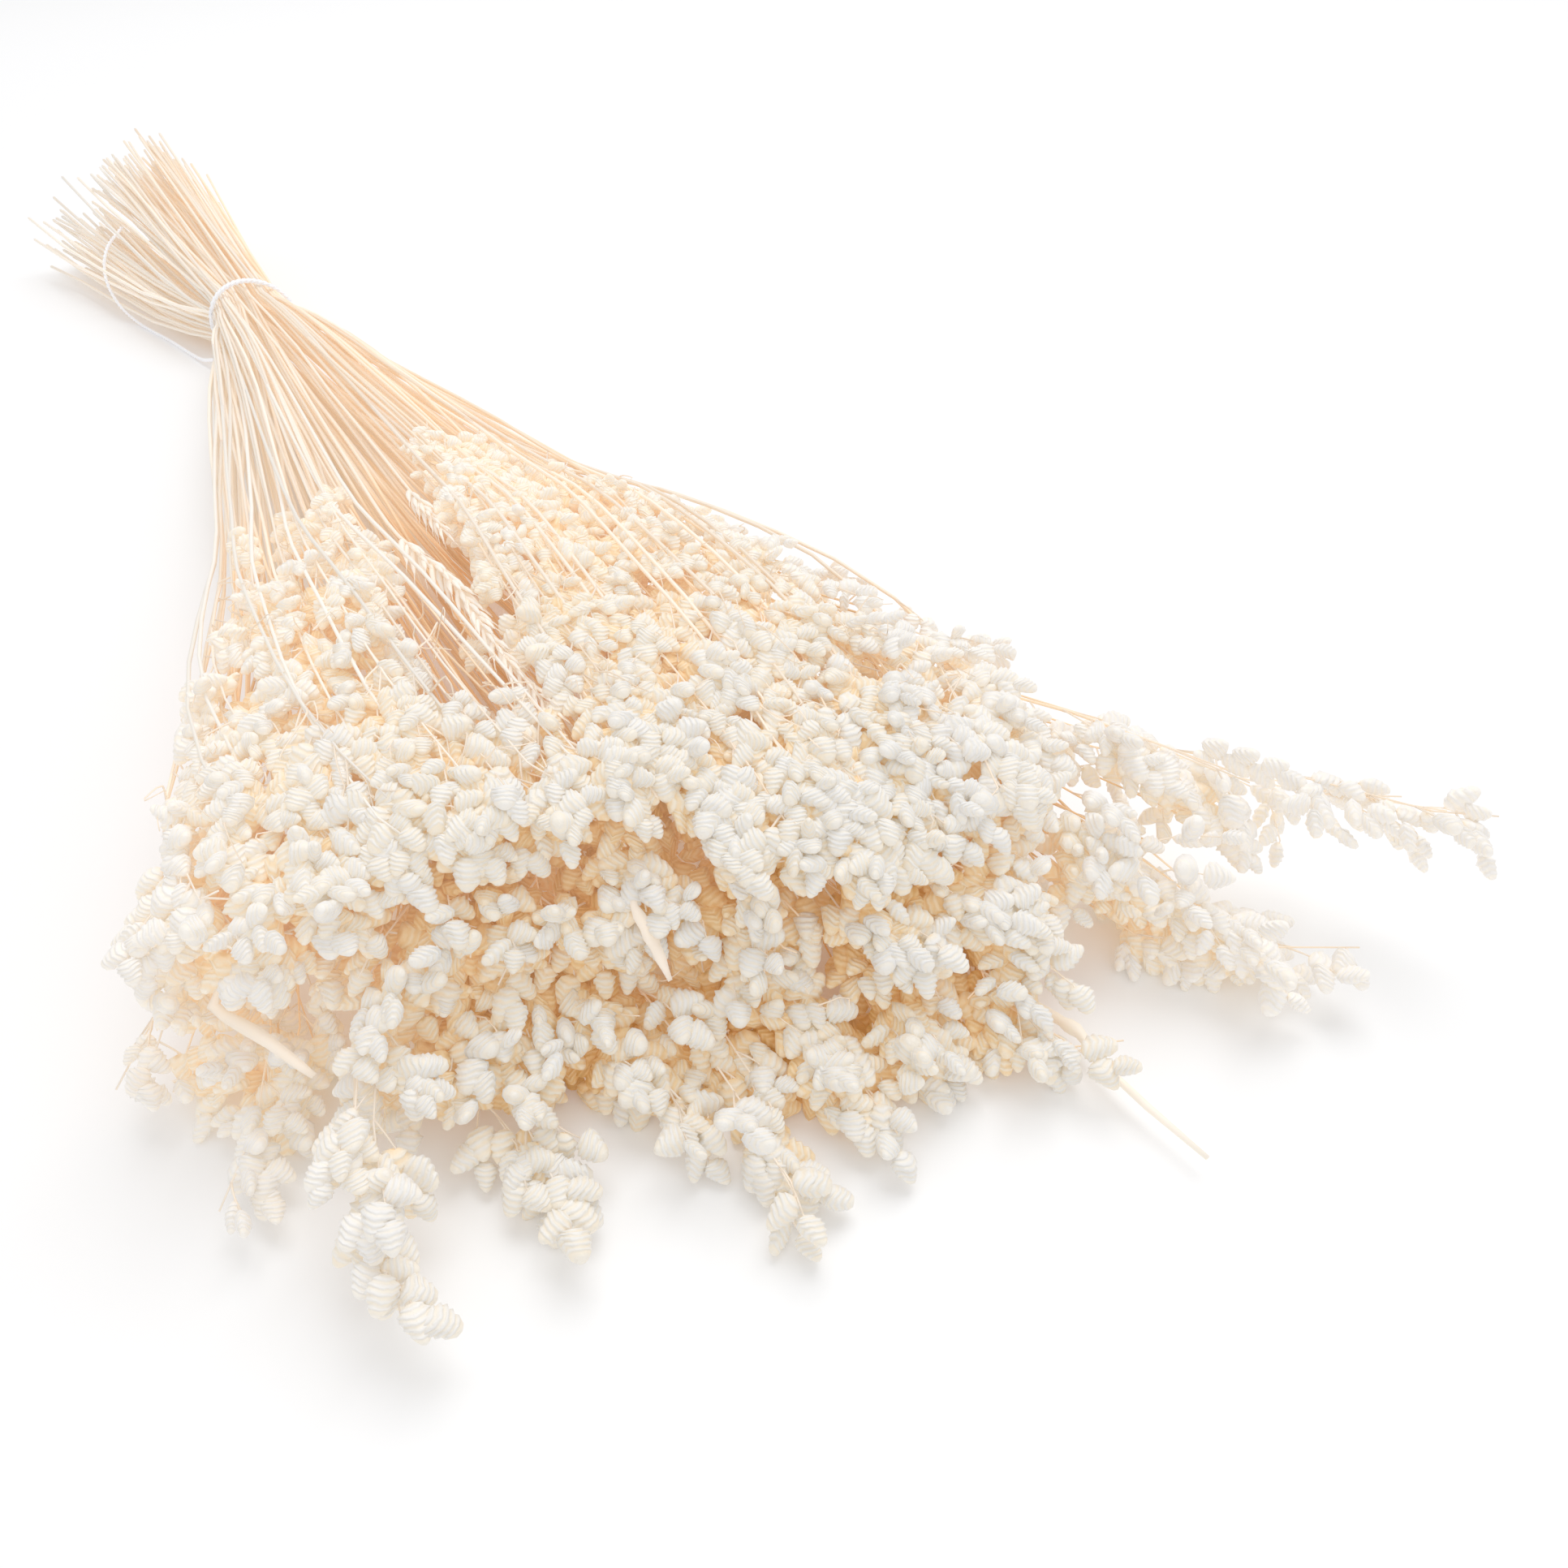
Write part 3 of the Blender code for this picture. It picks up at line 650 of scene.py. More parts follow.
def fan(corners: Array) -> Array:
    """Triangles that fill a ring of corners."""
    return np.array([(corners[0], corners[k], corners[k + 1]) for k in range(1, len(corners) - 1)])


def sleeve(rings: int, sides: int) -> Array:
    """Joins rings of points with four-sided faces that face out.

    Args:
        rings: How many rings there are.
        sides: How many points each has.

    Returns:
        The faces.
    """
    ring, side = np.meshgrid(np.arange(rings - 1), np.arange(sides), indexing="ij")
    here = ring * sides + side
    beside = ring * sides + (side + 1) % sides
    return np.stack([here, here + sides, beside + sides, beside], axis=-1).reshape(-1, 4)


def frames_along(path: Array, guide: Array) -> tuple[Array, Array]:
    """Directions that stand square to a path.

    Args:
        path: The points that it follows.
        guide: The direction that counts as up, for all of it or each point.

    Returns:
        The direction across it and the one above it, at each point.
    """
    along = unit(np.gradient(path, axis=0))
    across = unit(np.cross(along, guide))
    return across, np.cross(across, along)


def lengths_along(path: Array) -> Array:
    """How far each point lies along a path."""
    return np.concatenate([[0], np.cumsum(np.linalg.norm(np.diff(path, axis=0), axis=1))])


def sweep(path: Array, radii: Array | float, sides: int, flat: float = 1.0) -> Shape:
    """A closed tube along a path.

    Args:
        path: The points that it follows.
        radii: Its radius, at each point or everywhere.
        sides: How many sides it has.
        flat: Its height as a share of its width.

    Returns:
        Its points, its four-sided faces and its three-sided ones.
    """
    across, above = frames_along(path, UP if abs(unit(path[-1] - path[0])[2]) < STEEP else FORWARD)
    turns = 2 * math.pi * (np.arange(sides) + 0.5)[None, :, None] / sides
    radii = np.broadcast_to(radii, len(path))[:, None, None]
    ring = np.cos(turns) * across[:, None] + flat * np.sin(turns) * above[:, None]
    points = (path[:, None] + ring * radii).reshape(-1, 3)
    last = (len(path) - 1) * sides
    ends = np.concatenate([fan(np.arange(sides)), fan(last + np.arange(sides)[::-1])])
    return points, sleeve(len(path), sides), ends


def curve_through(places: Array, count: int) -> Array:
    """Evenly spaced points on a smooth curve through some places.

    Args:
        places: The places, in order.
        count: How many points to return.

    Returns:
        The points.
    """
    padded = np.vstack([2 * places[0] - places[1], places, 2 * places[-1] - places[-2]])
    fine = []
    for k in range(1, len(padded) - 2):
        before, start, end, after = padded[k - 1:k + 3]
        for t in np.linspace(0, 1, CURVE_STEPS, endpoint=False):
            bend = 2 * before - 5 * start + 4 * end - after
            curl = -before + 3 * start - 3 * end + after
            fine.append(0.5 * (2 * start + (end - before) * t + bend * t * t + curl * t ** 3))
    fine.append(places[-1])
    line = np.array(fine)
    steps = lengths_along(line)
    return on_line(np.linspace(0, steps[-1], count), steps, line)


class Detail(Enum):
    """How finely a spikelet is shaped, as its number of scales, of rings for each of them and of sides."""

    FINE = (6, 2, 10)
    MEDIUM = (5, 2, 7)
    PLAIN = (4, 1, 6)


@dataclass(frozen=True)
class SpikeletForm:
    """One shape of spikelet, one unit long from its stalk to its tip along X."""

    shape: Shape
    warm: Array
    ridge: Array


@dataclass
class SpikeletForms:
    """The plump, scaled spikelets, in a few shapes for each level of detail."""

    seed: int = 21
    shapes: int = SHAPES
    half_width: tuple[float, float] = (0.4, 0.49)
    thickness: tuple[float, float] = (0.55, 0.75)
    shoulder: float = 0.36
    shoulder_power: float = 0.42
    tip_power: tuple[float, float] = (0.34, 0.52)
    tip_width: float = 0.2
    tip_share: float = 0.96
    tip_groove: float = 0.97
    plain_ridges: float = 1.3
    groove: float = 0.84
    groove_place: float = 0.14
    rim: float = 1.04
    rim_place: float = 0.72
    slant: float = 0.25
    sag: tuple[float, float] = (0.9, 1.9)
    bend: float = 0.1
    uneven: float = 0.03
    base_bow: float = 3.0
    tip_bow: tuple[float, float] = (0.1, 2.2)
    groove_ridge: float = 0.5
    rim_ridge: float = 1.0
    end_warmth: tuple[float, float] = (1.0, 0.1)
    end_ridge: float = 0.25
    forms: dict[Detail, list[SpikeletForm]] = field(default_factory=dict)

    def build(self) -> None:
        """Makes all shapes."""
        rng = np.random.default_rng(self.seed)
        for detail in Detail:
            self.forms[detail] = [self.form(*detail.value, rng) for _ in range(self.shapes)]

    def width_at(self, share: float, tip_power: float) -> float:
        """Width along the spikelet, which is a broad heart with a blunt tip.

        Args:
            share: How far along it, from 0 to 1.
            tip_power: How fast it narrows to the tip.

        Returns:
            The width, as a share of the widest.
        """
        if share < self.shoulder:
            return (share / self.shoulder) ** self.shoulder_power
        return max(self.tip_width, (max(0.0, 1 - share) / (1 - self.shoulder)) ** tip_power)

    def form(self, scales: int, rings_each: int, sides: int, rng: np.random.Generator) -> SpikeletForm:
        """One spikelet: a flattened heart of scales, each with a groove behind it and a rounded rim.

        Args:
            scales: How many scales lie one over the other.
            rings_each: 2 for a groove and a rim on each scale, 1 for a smooth scale.
            sides: How many sides it has.
            rng: The source of its small differences.

        Returns:
            The form.
        """
        half_width = rng.uniform(*self.half_width)
        half_depth = half_width * rng.uniform(*self.thickness)
        bend = rng.uniform(-self.bend, self.bend)
        slant = self.slant * rng.choice((-1, 1))
        sag = rng.uniform(*self.sag)
        tip_power = rng.uniform(*self.tip_power)
        relief = ((self.groove_place, self.groove), (self.rim_place, self.rim))
        plain = ((self.rim_place, 1.0),)
        pitch = self.tip_share / (scales - 1 + self.rim_place)
        turns = 2 * math.pi * (np.arange(sides) + rng.uniform(0, 1)) / sides
        side, face = np.cos(turns), np.sin(turns)
        rings, ridge = [], []
        for scale in range(scales):
            for place, size in relief if rings_each == 2 else plain:
                share = (scale + place) * pitch
                if scale == scales - 1 and size < 1:
                    size = self.tip_groove
                size = size * rng.uniform(1 - self.uneven, 1 + self.uneven)
                bow = min(1.0, self.base_bow * share, self.tip_bow[0] + self.tip_bow[1] * (1 - share))
                lag = (slant * side - sag * (side * side - 0.5)) * bow
                wide = self.width_at(share, tip_power) * size
                rise = wide * half_depth * face + bend * share * share
                rings.append(np.stack([share + pitch * lag, wide * half_width * side, rise], axis=1))
                crest = scale + (self.rim_ridge if place == self.rim_place else self.groove_ridge)
                ridge.append(np.full(sides, crest if rings_each == 2 else crest * self.plain_ridges))
        points = np.concatenate([*rings, [(0.0, 0.0, 0.0), (1.0, 0.0, bend)]])
        last = (len(rings) - 1) * sides
        ends = [(len(points) - 2, (k + 1) % sides, k) for k in range(sides)]
        ends += [(len(points) - 1, last + k, last + (k + 1) % sides) for k in range(sides)]
        warmth = np.zeros(len(points))
        warmth[-2:] = self.end_warmth
        ridge[-1] = ridge[-1] - self.end_ridge
        ridges = np.concatenate([*ridge, [self.groove_ridge, ridge[-1][0]]])
        return SpikeletForm((points, sleeve(len(rings), sides)[:, ::-1], np.array(ends)), warmth, ridges)


@dataclass
class Spikelet:
    """One spikelet in its place."""

    wisp: int
    branch: int
    centre: Array
    heading: Array
    wide: Array
    root: Array
    length: float
    tone: float
    shape: int
    warmth: float
    shade: float = 0.0
    detail: Detail = Detail.PLAIN

    @property
    def base(self) -> Array:
        """Where its stalk meets it."""
        return self.centre - self.heading * self.length / 2


@dataclass
class Strand:
    """One thin stem, branch or stalk, or the flat remains of a leaf."""

    wisp: int
    path: Array
    radii: Array
    sides: int
    warm: Array | float
    tone: float
    flat: float = 1.0


@dataclass(frozen=True)
class Stem:
    """What the branches of one stem need to know of it."""

    wisp: int
    line: Array
    start: float
    tip: float
    tone: float
    white: bool
    free: bool

    def place(self, x: float) -> Array:
        """Where the stem is at a distance from the tie."""
        return np.array([x, *on_line(x, self.line[:, 0], self.line[:, 1:])])


@dataclass
class Panicles:
    """All stems, branches and spikelets of the bunch, planned together so that each has its room."""

    layout: Layout
    seed: int = 5
    # Stems, from their cut ends through the tie
    stems: int = 7
    stem_radius: float = 0.56
    stem_sides: int = 4
    stem_thinning: tuple[float, float, float, float] = (1.0, 0.9, 0.6, 0.25)
    thinning_start: float = 150.0
    stem_low: float = 0.6
    seat: float = 1.12
    ring_share: tuple[float, float] = (0.75, 1.05)
    fill: float = 0.74
    fill_run: float = 60.0
    nearest: int = 4
    widest_reach: float = 9.0
    twist: float = 0.003
    sway: float = 0.09
    sway_waves: Table = ((53, 27), (47, 23))
    still: float = 10.0
    cut_marks: tuple[float, ...] = (-120, -85, -50, -25, -7, 7, 16, 30, 50, 75, 105, 135, 165, 195)
    head_marks: tuple[float, float] = (215.0, 14.0)
    cut_spread: float = 14.0
    cut_fan: float = 19.0
    cut_fan_share: tuple[float, float] = (-0.6, 1.0)
    cut_loose: float = 3.0
    lower_shift: tuple[float, float] = (-8.0, -5.0)
    lower_run: float = 45.0
    start_spread: tuple[float, float] = (-6.0, 30.0)
    tip_station: float = 335.0
    tip_back: float = 4.0
    tip_spread: float = 9.0
    # Where the heads grow: place across, first scattered heads and full ones
    grown_from: Table = (
        (-45, 222, 236), (-30, 195, 238), (-18, 150, 244), (-11, 150, 262), (-7, 190, 300), (-4, 300, 318),
        (2, 300, 318), (5, 190, 285), (8, 165, 235), (20, 165, 206), (41, 170, 206), (52, 190, 218),
        (63, 215, 230),
    )
    fade_run: float = 30.0
    scattered: float = 0.36
    early_share: float = 0.42
    early_run: float = 60.0
    # Stems that run on to the free tips
    free_stems: int = 3
    free_trims: tuple[float, ...] = (6, 7, 8, 8, 5, 15, 6, 6, 14, 5, 10, 3)
    free_step: float = 6.0
    free_length: float = 20.0
    free_leave: float = 25.0
    free_reach: float = 1.6
    free_narrow: float = 15.0
    free_taper: float = 0.3
    free_slim: float = 18.0
    free_spread: tuple[float, float] = (1.0, 3.2)
    # Stems with the whitest heads
    white_share: float = 0.14
    white_mark: int = -3
    white_height: float = 22.0
    white_rise: float = 2.5
    drift: float = 0.009
    smoothings: int = 3
    # The colour of the stems, with painted shade deep inside the heads
    plain_warm: float = 0.3
    side_mark: int = 7
    side_half: float = 12.0
    right_warm: float = 0.16
    deep_shade_warm: float = 0.55
    deep_from: float = 180.0
    deep_least: float = 3.0
    deep_run: float = 10.0
    # Branches
    branch_step: float = 7.2
    step_spread: tuple[float, float] = (0.7, 1.3)
    end_step: float = 0.7
    end_branches: float = 30.0
    turn_spread: float = 0.5
    branch_run: tuple[float, float] = (9.0, 15.0)
    least_run: float = 2.0
    reach_spread: tuple[float, float] = (0.4, 1.0)
    branch_sag: float = 0.08
    branch_low: float = 2.0
    branch_bow: float = 0.12
    branch_kink: float = 0.4
    branch_points: int = 5
    branch_warm: float = 0.25
    free_run: tuple[float, float] = (6.0, 10.0)
    branch_radius: float = 0.2
    branch_spread: float = 1.3
    bare_share: float = 0.22
    # Spikelets and their stalks
    spikelet_step: float = 2.35
    spikelet_length: tuple[float, float] = (4.2, 5.6)
    spikelet_side: float = 0.62
    end_side: float = 0.1
    end_length: float = 0.88
    along_share: float = 0.8
    heading_spread: float = 0.27
    wide_spread: float = 0.25
    stalk_gap: float = 0.3
    stalk_sunk: float = 0.15
    stalk_warmth_and_shade: tuple[float, float] = (0.2, 0.5)
    facing_front: tuple[float, float, float] = (0.3, 0.8, 30.0)
    facing_side: float = 0.9
    facing_spread: float = 0.35
    warmth: tuple[float, float] = (0.02, 0.11)
    smaller: Table = ((215, 0.75), (290, 0.82), (360, 1.0))
    stalk_radius: float = 0.13
    droop: float = 0.2
    # How full the heads are, and how far they swell
    keep_shallow: float = 0.82
    keep_middle: float = 0.25
    keep_deep: float = 0.03
    shallow: float = 8.0
    middle: float = 13.0
    uneven: float = 3.5
    swell: float = 0.25
    lump_waves: Table = ((8.5, 1.7, 11), (5.5, 1.4, 13))
    lump_start: float = 0.6
    next_overlap: float = 1.2
    side_inset: tuple[float, float] = (6.0, 5.0)
    crown_inset: float = 1.5
    stem_inset: float = 1.5
    inset_shares: tuple[float, float] = (0.8, 0.45)
    left_inset: Table = (
        (120, 0), (200, 9), (235, 13), (255, 12), (270, 9), (300, 5), (318, 0),
    )
    right_full: float = 240.0
    # Stems that ride over the heads
    riding: tuple[int, ...] = (3, 5)
    riding_station: float = 240.0
    riding_depth: float = 13.0
    riding_start: float = 285.0
    riding_run: Table = ((150, 0), (200, 1), (285, 1), (320, 0))
    riding_sunk: float = 1.0
    riding_pale: float = 0.16
    # Papery remains of leaves
    blades: tuple[tuple[Place, Place], ...] = (
        ((316, 11, 40.5), (323, 9, 39)),
        ((331, 5.4, 27), (340.5, 6.5, 19.5)),
        ((320, -49, 24), (332, -40, 17.5)),
    )
    blade_points: int = 10
    blade_width: float = 1.1
    blade_taper: tuple[float, float] = (0.3, 2.7)
    blade_crumple: tuple[float, float] = (0.75, 1.15)
    blade_flat: float = 0.12
    blade_bow: float = 0.8
    blade_sides: int = 6
    blade_warm: float = 0.25
    blade_tone: float = 0.6
    # Branches that have lost their spikelets
    bare_branches: int = 3
    bare_from: float = 215.0
    bare_until: float = 12.0
    bare_turn: tuple[float, float] = (0.1, 0.9)
    bare_run: tuple[float, float] = (5.0, 14.0)
    bare_spread: tuple[float, float] = (3.0, 8.0)
    bare_bends: tuple[float, float] = (1.5, 1.2)
    bare_shares: tuple[float, float] = (0.4, 0.75)
    bare_rise: float = 2.6
    bare_low: float = 1.0
    bare_tip: float = 0.09
    bare_points: int = 9
    bare_warm: float = 0.35
    # The room between spikelets
    gap: float = 2.4
    push_rounds: int = 3
    push_share: float = 0.4
    push_most: float = 1.2
    spikelet_low: float = 1.6
    # What lies open, and how far the rest is in the shade
    fine_count: int = 850
    medium_count: int = 1900
    open_sides: tuple[Place, ...] = (
        (0.15, 0, 1), (0.75, 0, 0.65), (1, 0, 0.2), (0.1, -0.9, 0.4), (0.1, 0.9, 0.4),
    )
    open_counted: int = 2
    near_eye: float = 0.012
    shade_block: int = 100
    shade_reach: float = 12.0
    shade_slope: float = 0.45
    shade_half: float = 4.3
    hidden_cover: float = 5.5
    hidden_share: float = 0.15
    strands: list[Strand] = field(default_factory=list)
    spikelets: list[Spikelet] = field(default_factory=list)

    def build(self) -> None:
        """Plans the stems with their branches, then the spikelets, and moves these apart."""
        self.rng = np.random.default_rng(self.seed)
        self.branches = 0
        special = set(self.layout.sizes.ear_places) | {self.layout.sizes.bare_place}
        self.wisps = [wisp for wisp in range(self.layout.count) if wisp not in special]
        grown: list[Stem] = []
        for wisp in self.wisps:
            turn = self.rng.uniform(0, math.pi)
            for number in range(self.stems):
                stem = self.grow_stem(wisp, number, turn)
                self.grow_branches(stem)
                grown.append(stem)
        self.move_apart()
        self.rank()
        for spikelet in self.spikelets:
            base = spikelet.base + spikelet.heading * self.stalk_sunk * spikelet.length
            # Stalks of shaded spikelets get painted shade as well.
            warm = self.stalk_warmth_and_shade[0] + self.stalk_warmth_and_shade[1] * spikelet.shade
            radii = np.full(2, self.stalk_radius)
            path = np.array([spikelet.root, base])
            self.strands.append(Strand(spikelet.wisp, path, radii, TWIG_SIDES, warm, spikelet.tone))
        self.add_blades()
        self.add_bare_branches(grown)

    def add_bare_branches(self, grown: list[Stem]) -> None:
        """Adds thin branches that have lost their spikelets and curl out among the heads.

        Args:
            grown: All stems.
        """
        rng = np.random.default_rng(self.seed + 1)
        for stem in grown:
            for _ in range(self.bare_branches):
                foot = stem.place(rng.uniform(max(stem.start, self.bare_from), stem.tip - self.bare_until))
                turn = rng.uniform(*self.bare_turn) * math.pi
                run, spread = rng.uniform(*self.bare_run), rng.uniform(*self.bare_spread)
                end = foot + np.array([run, *spread * around(turn)])
                end[1:] = self.kept_in(stem, end)
                bends = [rng.normal(0, bend, 3) for bend in self.bare_bends]
                if self.layout.depth(end) > self.shallow or stem.free:
                    continue
                end[2] += self.bare_rise
                way = end - foot
                between = [foot + way * share + bend for share, bend in zip(self.bare_shares, bends)]
                ways = np.array([foot, *between, end])
                ways[:, 2] = np.maximum(ways[:, 2], self.bare_low)
                line = curve_through(ways, self.bare_points)
                radii = np.linspace(self.branch_radius, self.bare_tip, self.bare_points)
                self.strands.append(Strand(stem.wisp, line, radii, TWIG_SIDES, self.bare_warm, stem.tone))

    def add_blades(self) -> None:
        """Adds the papery remains of leaves, each grown from the nearest stem, branch or stalk."""
        for start, end in np.array(self.blades, float):
            gaps = [float(np.linalg.norm(strand.path - start, axis=1).min()) for strand in self.strands]
            strand = self.strands[int(np.argmin(gaps))]
            root = strand.path[np.linalg.norm(strand.path - start, axis=1).argmin()]
            middle = (start + end) / 2 + self.blade_bow * UP
            path = curve_through(np.array([root, start, middle, end]), self.blade_points)
            crumple = self.rng.uniform(*self.blade_crumple, self.blade_points)
            width = self.blade_width * np.sin(np.linspace(*self.blade_taper, self.blade_points)) * crumple
            self.strands.append(Strand(
                strand.wisp, path, width, self.blade_sides, self.blade_warm, self.blade_tone,
                self.blade_flat,
            ))

    def reach_at(self, wisp: int, x: float) -> float:
        """Half the mean distance from a wisp to its nearest neighbours."""
        near = np.linalg.norm(self.layout.neighbours(wisp, x) - self.layout.at(wisp, x), axis=1)
        return float(np.clip(np.sort(near)[:self.nearest].mean() / 2, self.seat, self.widest_reach))

    def grow_stem(self, wisp: int, number: int, turn: float) -> Stem:
        """Plans one stem from its cut end to its tip.

        Args:
            wisp: The wisp that it belongs to.
            number: Its number in the wisp.
            turn: How far the wisp's stems are turned round its axis.

        Returns:
            The stem.
        """
        rng, layout = self.rng, self.layout
        start = layout.starts[wisp] + rng.uniform(*self.start_spread)
        if rng.uniform() < self.early_share:
            start -= self.early_run * rng.uniform()
        free = wisp in layout.free and number < self.free_stems
        tip = self.tip_of(wisp, number, free)
        side, height = layout.at(wisp, self.riding_station)
        depth = layout.crown(self.riding_station, side) - height
        riding = number in self.riding and not free and depth < self.riding_depth
        if riding:
            start = max(start, self.riding_start)
        hub, cut_end = layout.sizes.hub_half, layout.sizes.cut_end
        cut = -cut_end + rng.uniform(-1, 1) * self.cut_spread
        first, step = self.head_marks
        stations = np.concatenate([[cut], self.cut_marks, np.arange(first, tip, step), [tip]])
        angle = turn + 2 * math.pi * (number - 1) / (self.stems - 1)
        own = 0.0 if number == 0 else rng.uniform(*self.ring_share)
        waves = rng.uniform(0, 2 * math.pi, 4).reshape(2, 2)
        twist = self.twist + rng.normal(0, self.drift)
        lobes = np.array([layout.sizes.upper_lobe, layout.sizes.lower_lobe])
        ends = np.linalg.norm(lobes - layout.at(wisp, -cut_end), axis=1)
        across = unit(lobes[ends.argmax()] - lobes[ends.argmin()])
        fanned = across * self.cut_fan * max(0.0, rng.uniform(*self.cut_fan_share))
        fanned = fanned + rng.normal(0, self.cut_loose, 2)
        lowered = (rng.uniform(0, 1) if ends[1] < ends[0] else 0.0) * np.array(self.lower_shift)
        path = []
        for x in stations:
            share = kept_share((abs(x) - hub) / self.fill_run)
            reach = self.seat
            if x > 0:
                reach = self.seat + (self.reach_at(wisp, x) * self.fill - self.seat) * share
            if free:
                to_go = layout.tips[wisp] - self.free_narrow - x
                reach = min(reach, max(self.free_reach, to_go * self.free_taper))
            offset = own * reach * around(angle + twist * max(x, 0))
            if x < 0:
                offset = offset + kept_share((-x - hub) / cut_end) * fanned
                offset = offset + min(1.0, (-x - hub) / self.lower_run) * lowered
            swings = np.sin(x / np.array(self.sway_waves) + waves).sum(axis=1)
            y, z = layout.at(wisp, x) + offset + self.sway * reach * share * swings
            if x > self.still and not free:
                left, right, _ = layout.outline_at(x)
                left += self.stem_inset + self.inset_shares[0] * self.inset_at(x)
                right -= self.stem_inset + self.inset_shares[1] * self.inset_at(min(x, self.right_full))
                y = float(np.clip(y, left, right))
            if riding:
                z += max(0.0, layout.crown(x, y) - self.riding_sunk - z) * on_table(self.riding_run, x)
            path.append((x, y, max(z, self.stem_low)))
        line = self.smoothed(np.array(path))
        thin = np.interp(line[:, 0], (0, self.thinning_start, start, tip), self.stem_thinning)
        tone = rng.uniform()
        warm = self.stem_warmth(line) - (self.riding_pale if riding else 0.0)
        self.strands.append(Strand(wisp, line, self.stem_radius * thin, self.stem_sides, warm, tone))
        white = rng.uniform() < self.white_share and line[self.white_mark, 2] > self.white_height
        return Stem(wisp, line, start, tip, tone, white, free)

    def tip_of(self, wisp: int, number: int, free: bool) -> float:
        """How far a stem reaches.

        Args:
            wisp: The wisp that it belongs to.
            number: Its number in the wisp.
            free: True where it runs on to a free tip.

        Returns:
            Its tip's distance from the tie.
        """
        layout = self.layout
        if free:
            sides = [spray[1] for spray in layout.sizes.free_tips]
            trim = float(np.interp(layout.ends[wisp][1], sides, self.free_trims))
            return layout.tips[wisp] - trim - self.free_step * number
        y, z = layout.at(wisp, self.tip_station)
        return layout.front_at(y, z) - self.tip_back - self.rng.uniform(0, 1) * self.tip_spread

    def stem_warmth(self, line: Array) -> Array:
        """How warm a stem's colour is: warmer on the bunch's right, and with painted shade deep inside its
        heads.

        Args:
            line: The stem's line.

        Returns:
            The warmth at each of its points.
        """
        right = float(np.clip(line[self.side_mark, 1] / self.side_half, -1, 1))
        deep = np.array([self.layout.depth(point) if point[0] > self.deep_from else 0.0 for point in line])
        deep_shade_share = np.clip((deep - self.deep_least) / self.deep_run, 0, 1)
        return self.plain_warm + self.right_warm * right + self.deep_shade_warm * deep_shade_share

    def smoothed(self, line: Array) -> Array:
        """Takes the small kinks out of a stem's line, except inside the tie and at its ends.

        Args:
            line: The line.

        Returns:
            The smooth line.
        """
        loose = np.abs(line[:, 0]) > self.still
        loose[[0, -1]] = False
        for _ in range(self.smoothings):
            soft = line.copy()
            soft[1:-1, 1:] = (line[:-2, 1:] + 2 * line[1:-1, 1:] + line[2:, 1:]) / 4
            line = np.where(loose[:, None], soft, line)
        return line

    def grow_branches(self, stem: Stem) -> None:
        """Plans the branches of one stem, each with a row of spikelets.

        Args:
            stem: The stem.
        """
        rng = self.rng
        turn = rng.uniform(0, 2 * math.pi)
        x = stem.start
        while x < stem.tip:
            foot = stem.place(min(x, stem.tip - 1.0))
            near_end = stem.tip - foot[0] < self.end_branches
            turn += GOLDEN_TURN + rng.uniform(-self.turn_spread, self.turn_spread)
            step = self.branch_step * self.scale_at(x) * rng.uniform(*self.step_spread)
            x += step * (self.end_step if near_end else 1.0)
            run = rng.uniform(*(self.free_run if stem.free and near_end else self.branch_run))
            run = min(run, max(self.least_run, stem.tip + self.least_run - foot[0]))
            out = np.array([0.0, *around(turn)])
            reach = self.reach_at(stem.wisp, foot[0])
            spread = reach * self.branch_spread * rng.uniform(*self.reach_spread)
            if stem.free and foot[0] > stem.tip - self.free_slim:
                spread = min(spread, rng.uniform(*self.free_spread))
            end = foot + FORWARD * run + out * spread
            end[2] = max(end[2] - self.branch_sag * run, self.branch_low)
            end[1:] = self.kept_in(stem, end)
            if rng.uniform() > self.keep_chance(stem, foot, end):
                continue
            middle = (foot + end) / 2 + out * spread * self.branch_bow + rng.normal(0, self.branch_kink, 3)
            branch = curve_through(np.array([foot, middle, end]), self.branch_points)
            radii = np.linspace(self.branch_radius, self.stalk_radius, self.branch_points)
            self.strands.append(Strand(stem.wisp, branch, radii, TWIG_SIDES, self.branch_warm, stem.tone))
            self.hang_spikelets(stem, branch)

    def kept_in(self, stem: Stem, point: Array) -> Array:
        """Draws a point in from the next wisps and from the bunch's uneven outline.

        Args:
            stem: The stem that it belongs to.
            point: The point.

        Returns:
            Its new place across and up.
        """
        layout = self.layout
        axis = layout.at(stem.wisp, point[0])
        away = point[1:] - axis
        gaps = layout.neighbours(stem.wisp, point[0]) - axis
        distances = np.linalg.norm(gaps, axis=1)
        along = gaps @ away / distances
        limits = distances / 2 + self.next_overlap
        over = along > limits
        share = float((limits[over] / along[over]).min()) if over.any() else 1.0
        place = axis + away * share
        if self.in_free_part(stem, point[0]):
            return place
        left, right, _ = layout.outline_at(point[0])
        left_inset, right_inset = self.side_inset
        place[0] = np.clip(place[0], left + left_inset + self.inset_at(point[0]), right - right_inset)
        lowered = self.uneven * (1 - self.lump(point)) / 2 - (self.white_rise if stem.white else 0.0)
        place[1] = min(place[1], layout.crown(point[0], place[0]) - self.crown_inset - lowered)
        return place

    def scale_at(self, x: float) -> float:
        """How large the spikelets are at a distance from the tie, the largest being 1."""
        return on_table(self.smaller, x)

    def inset_at(self, x: float) -> float:
        """How far the heads stay inside the outline's left side at a distance from the tie."""
        return on_table(self.left_inset, x)

    def in_free_part(self, stem: Stem, x: float) -> bool:
        """True where a free stem has left the bunch."""
        leave = self.layout.sizes.head_tip - self.free_leave
        return stem.free and x > min(leave, stem.tip - self.free_length)

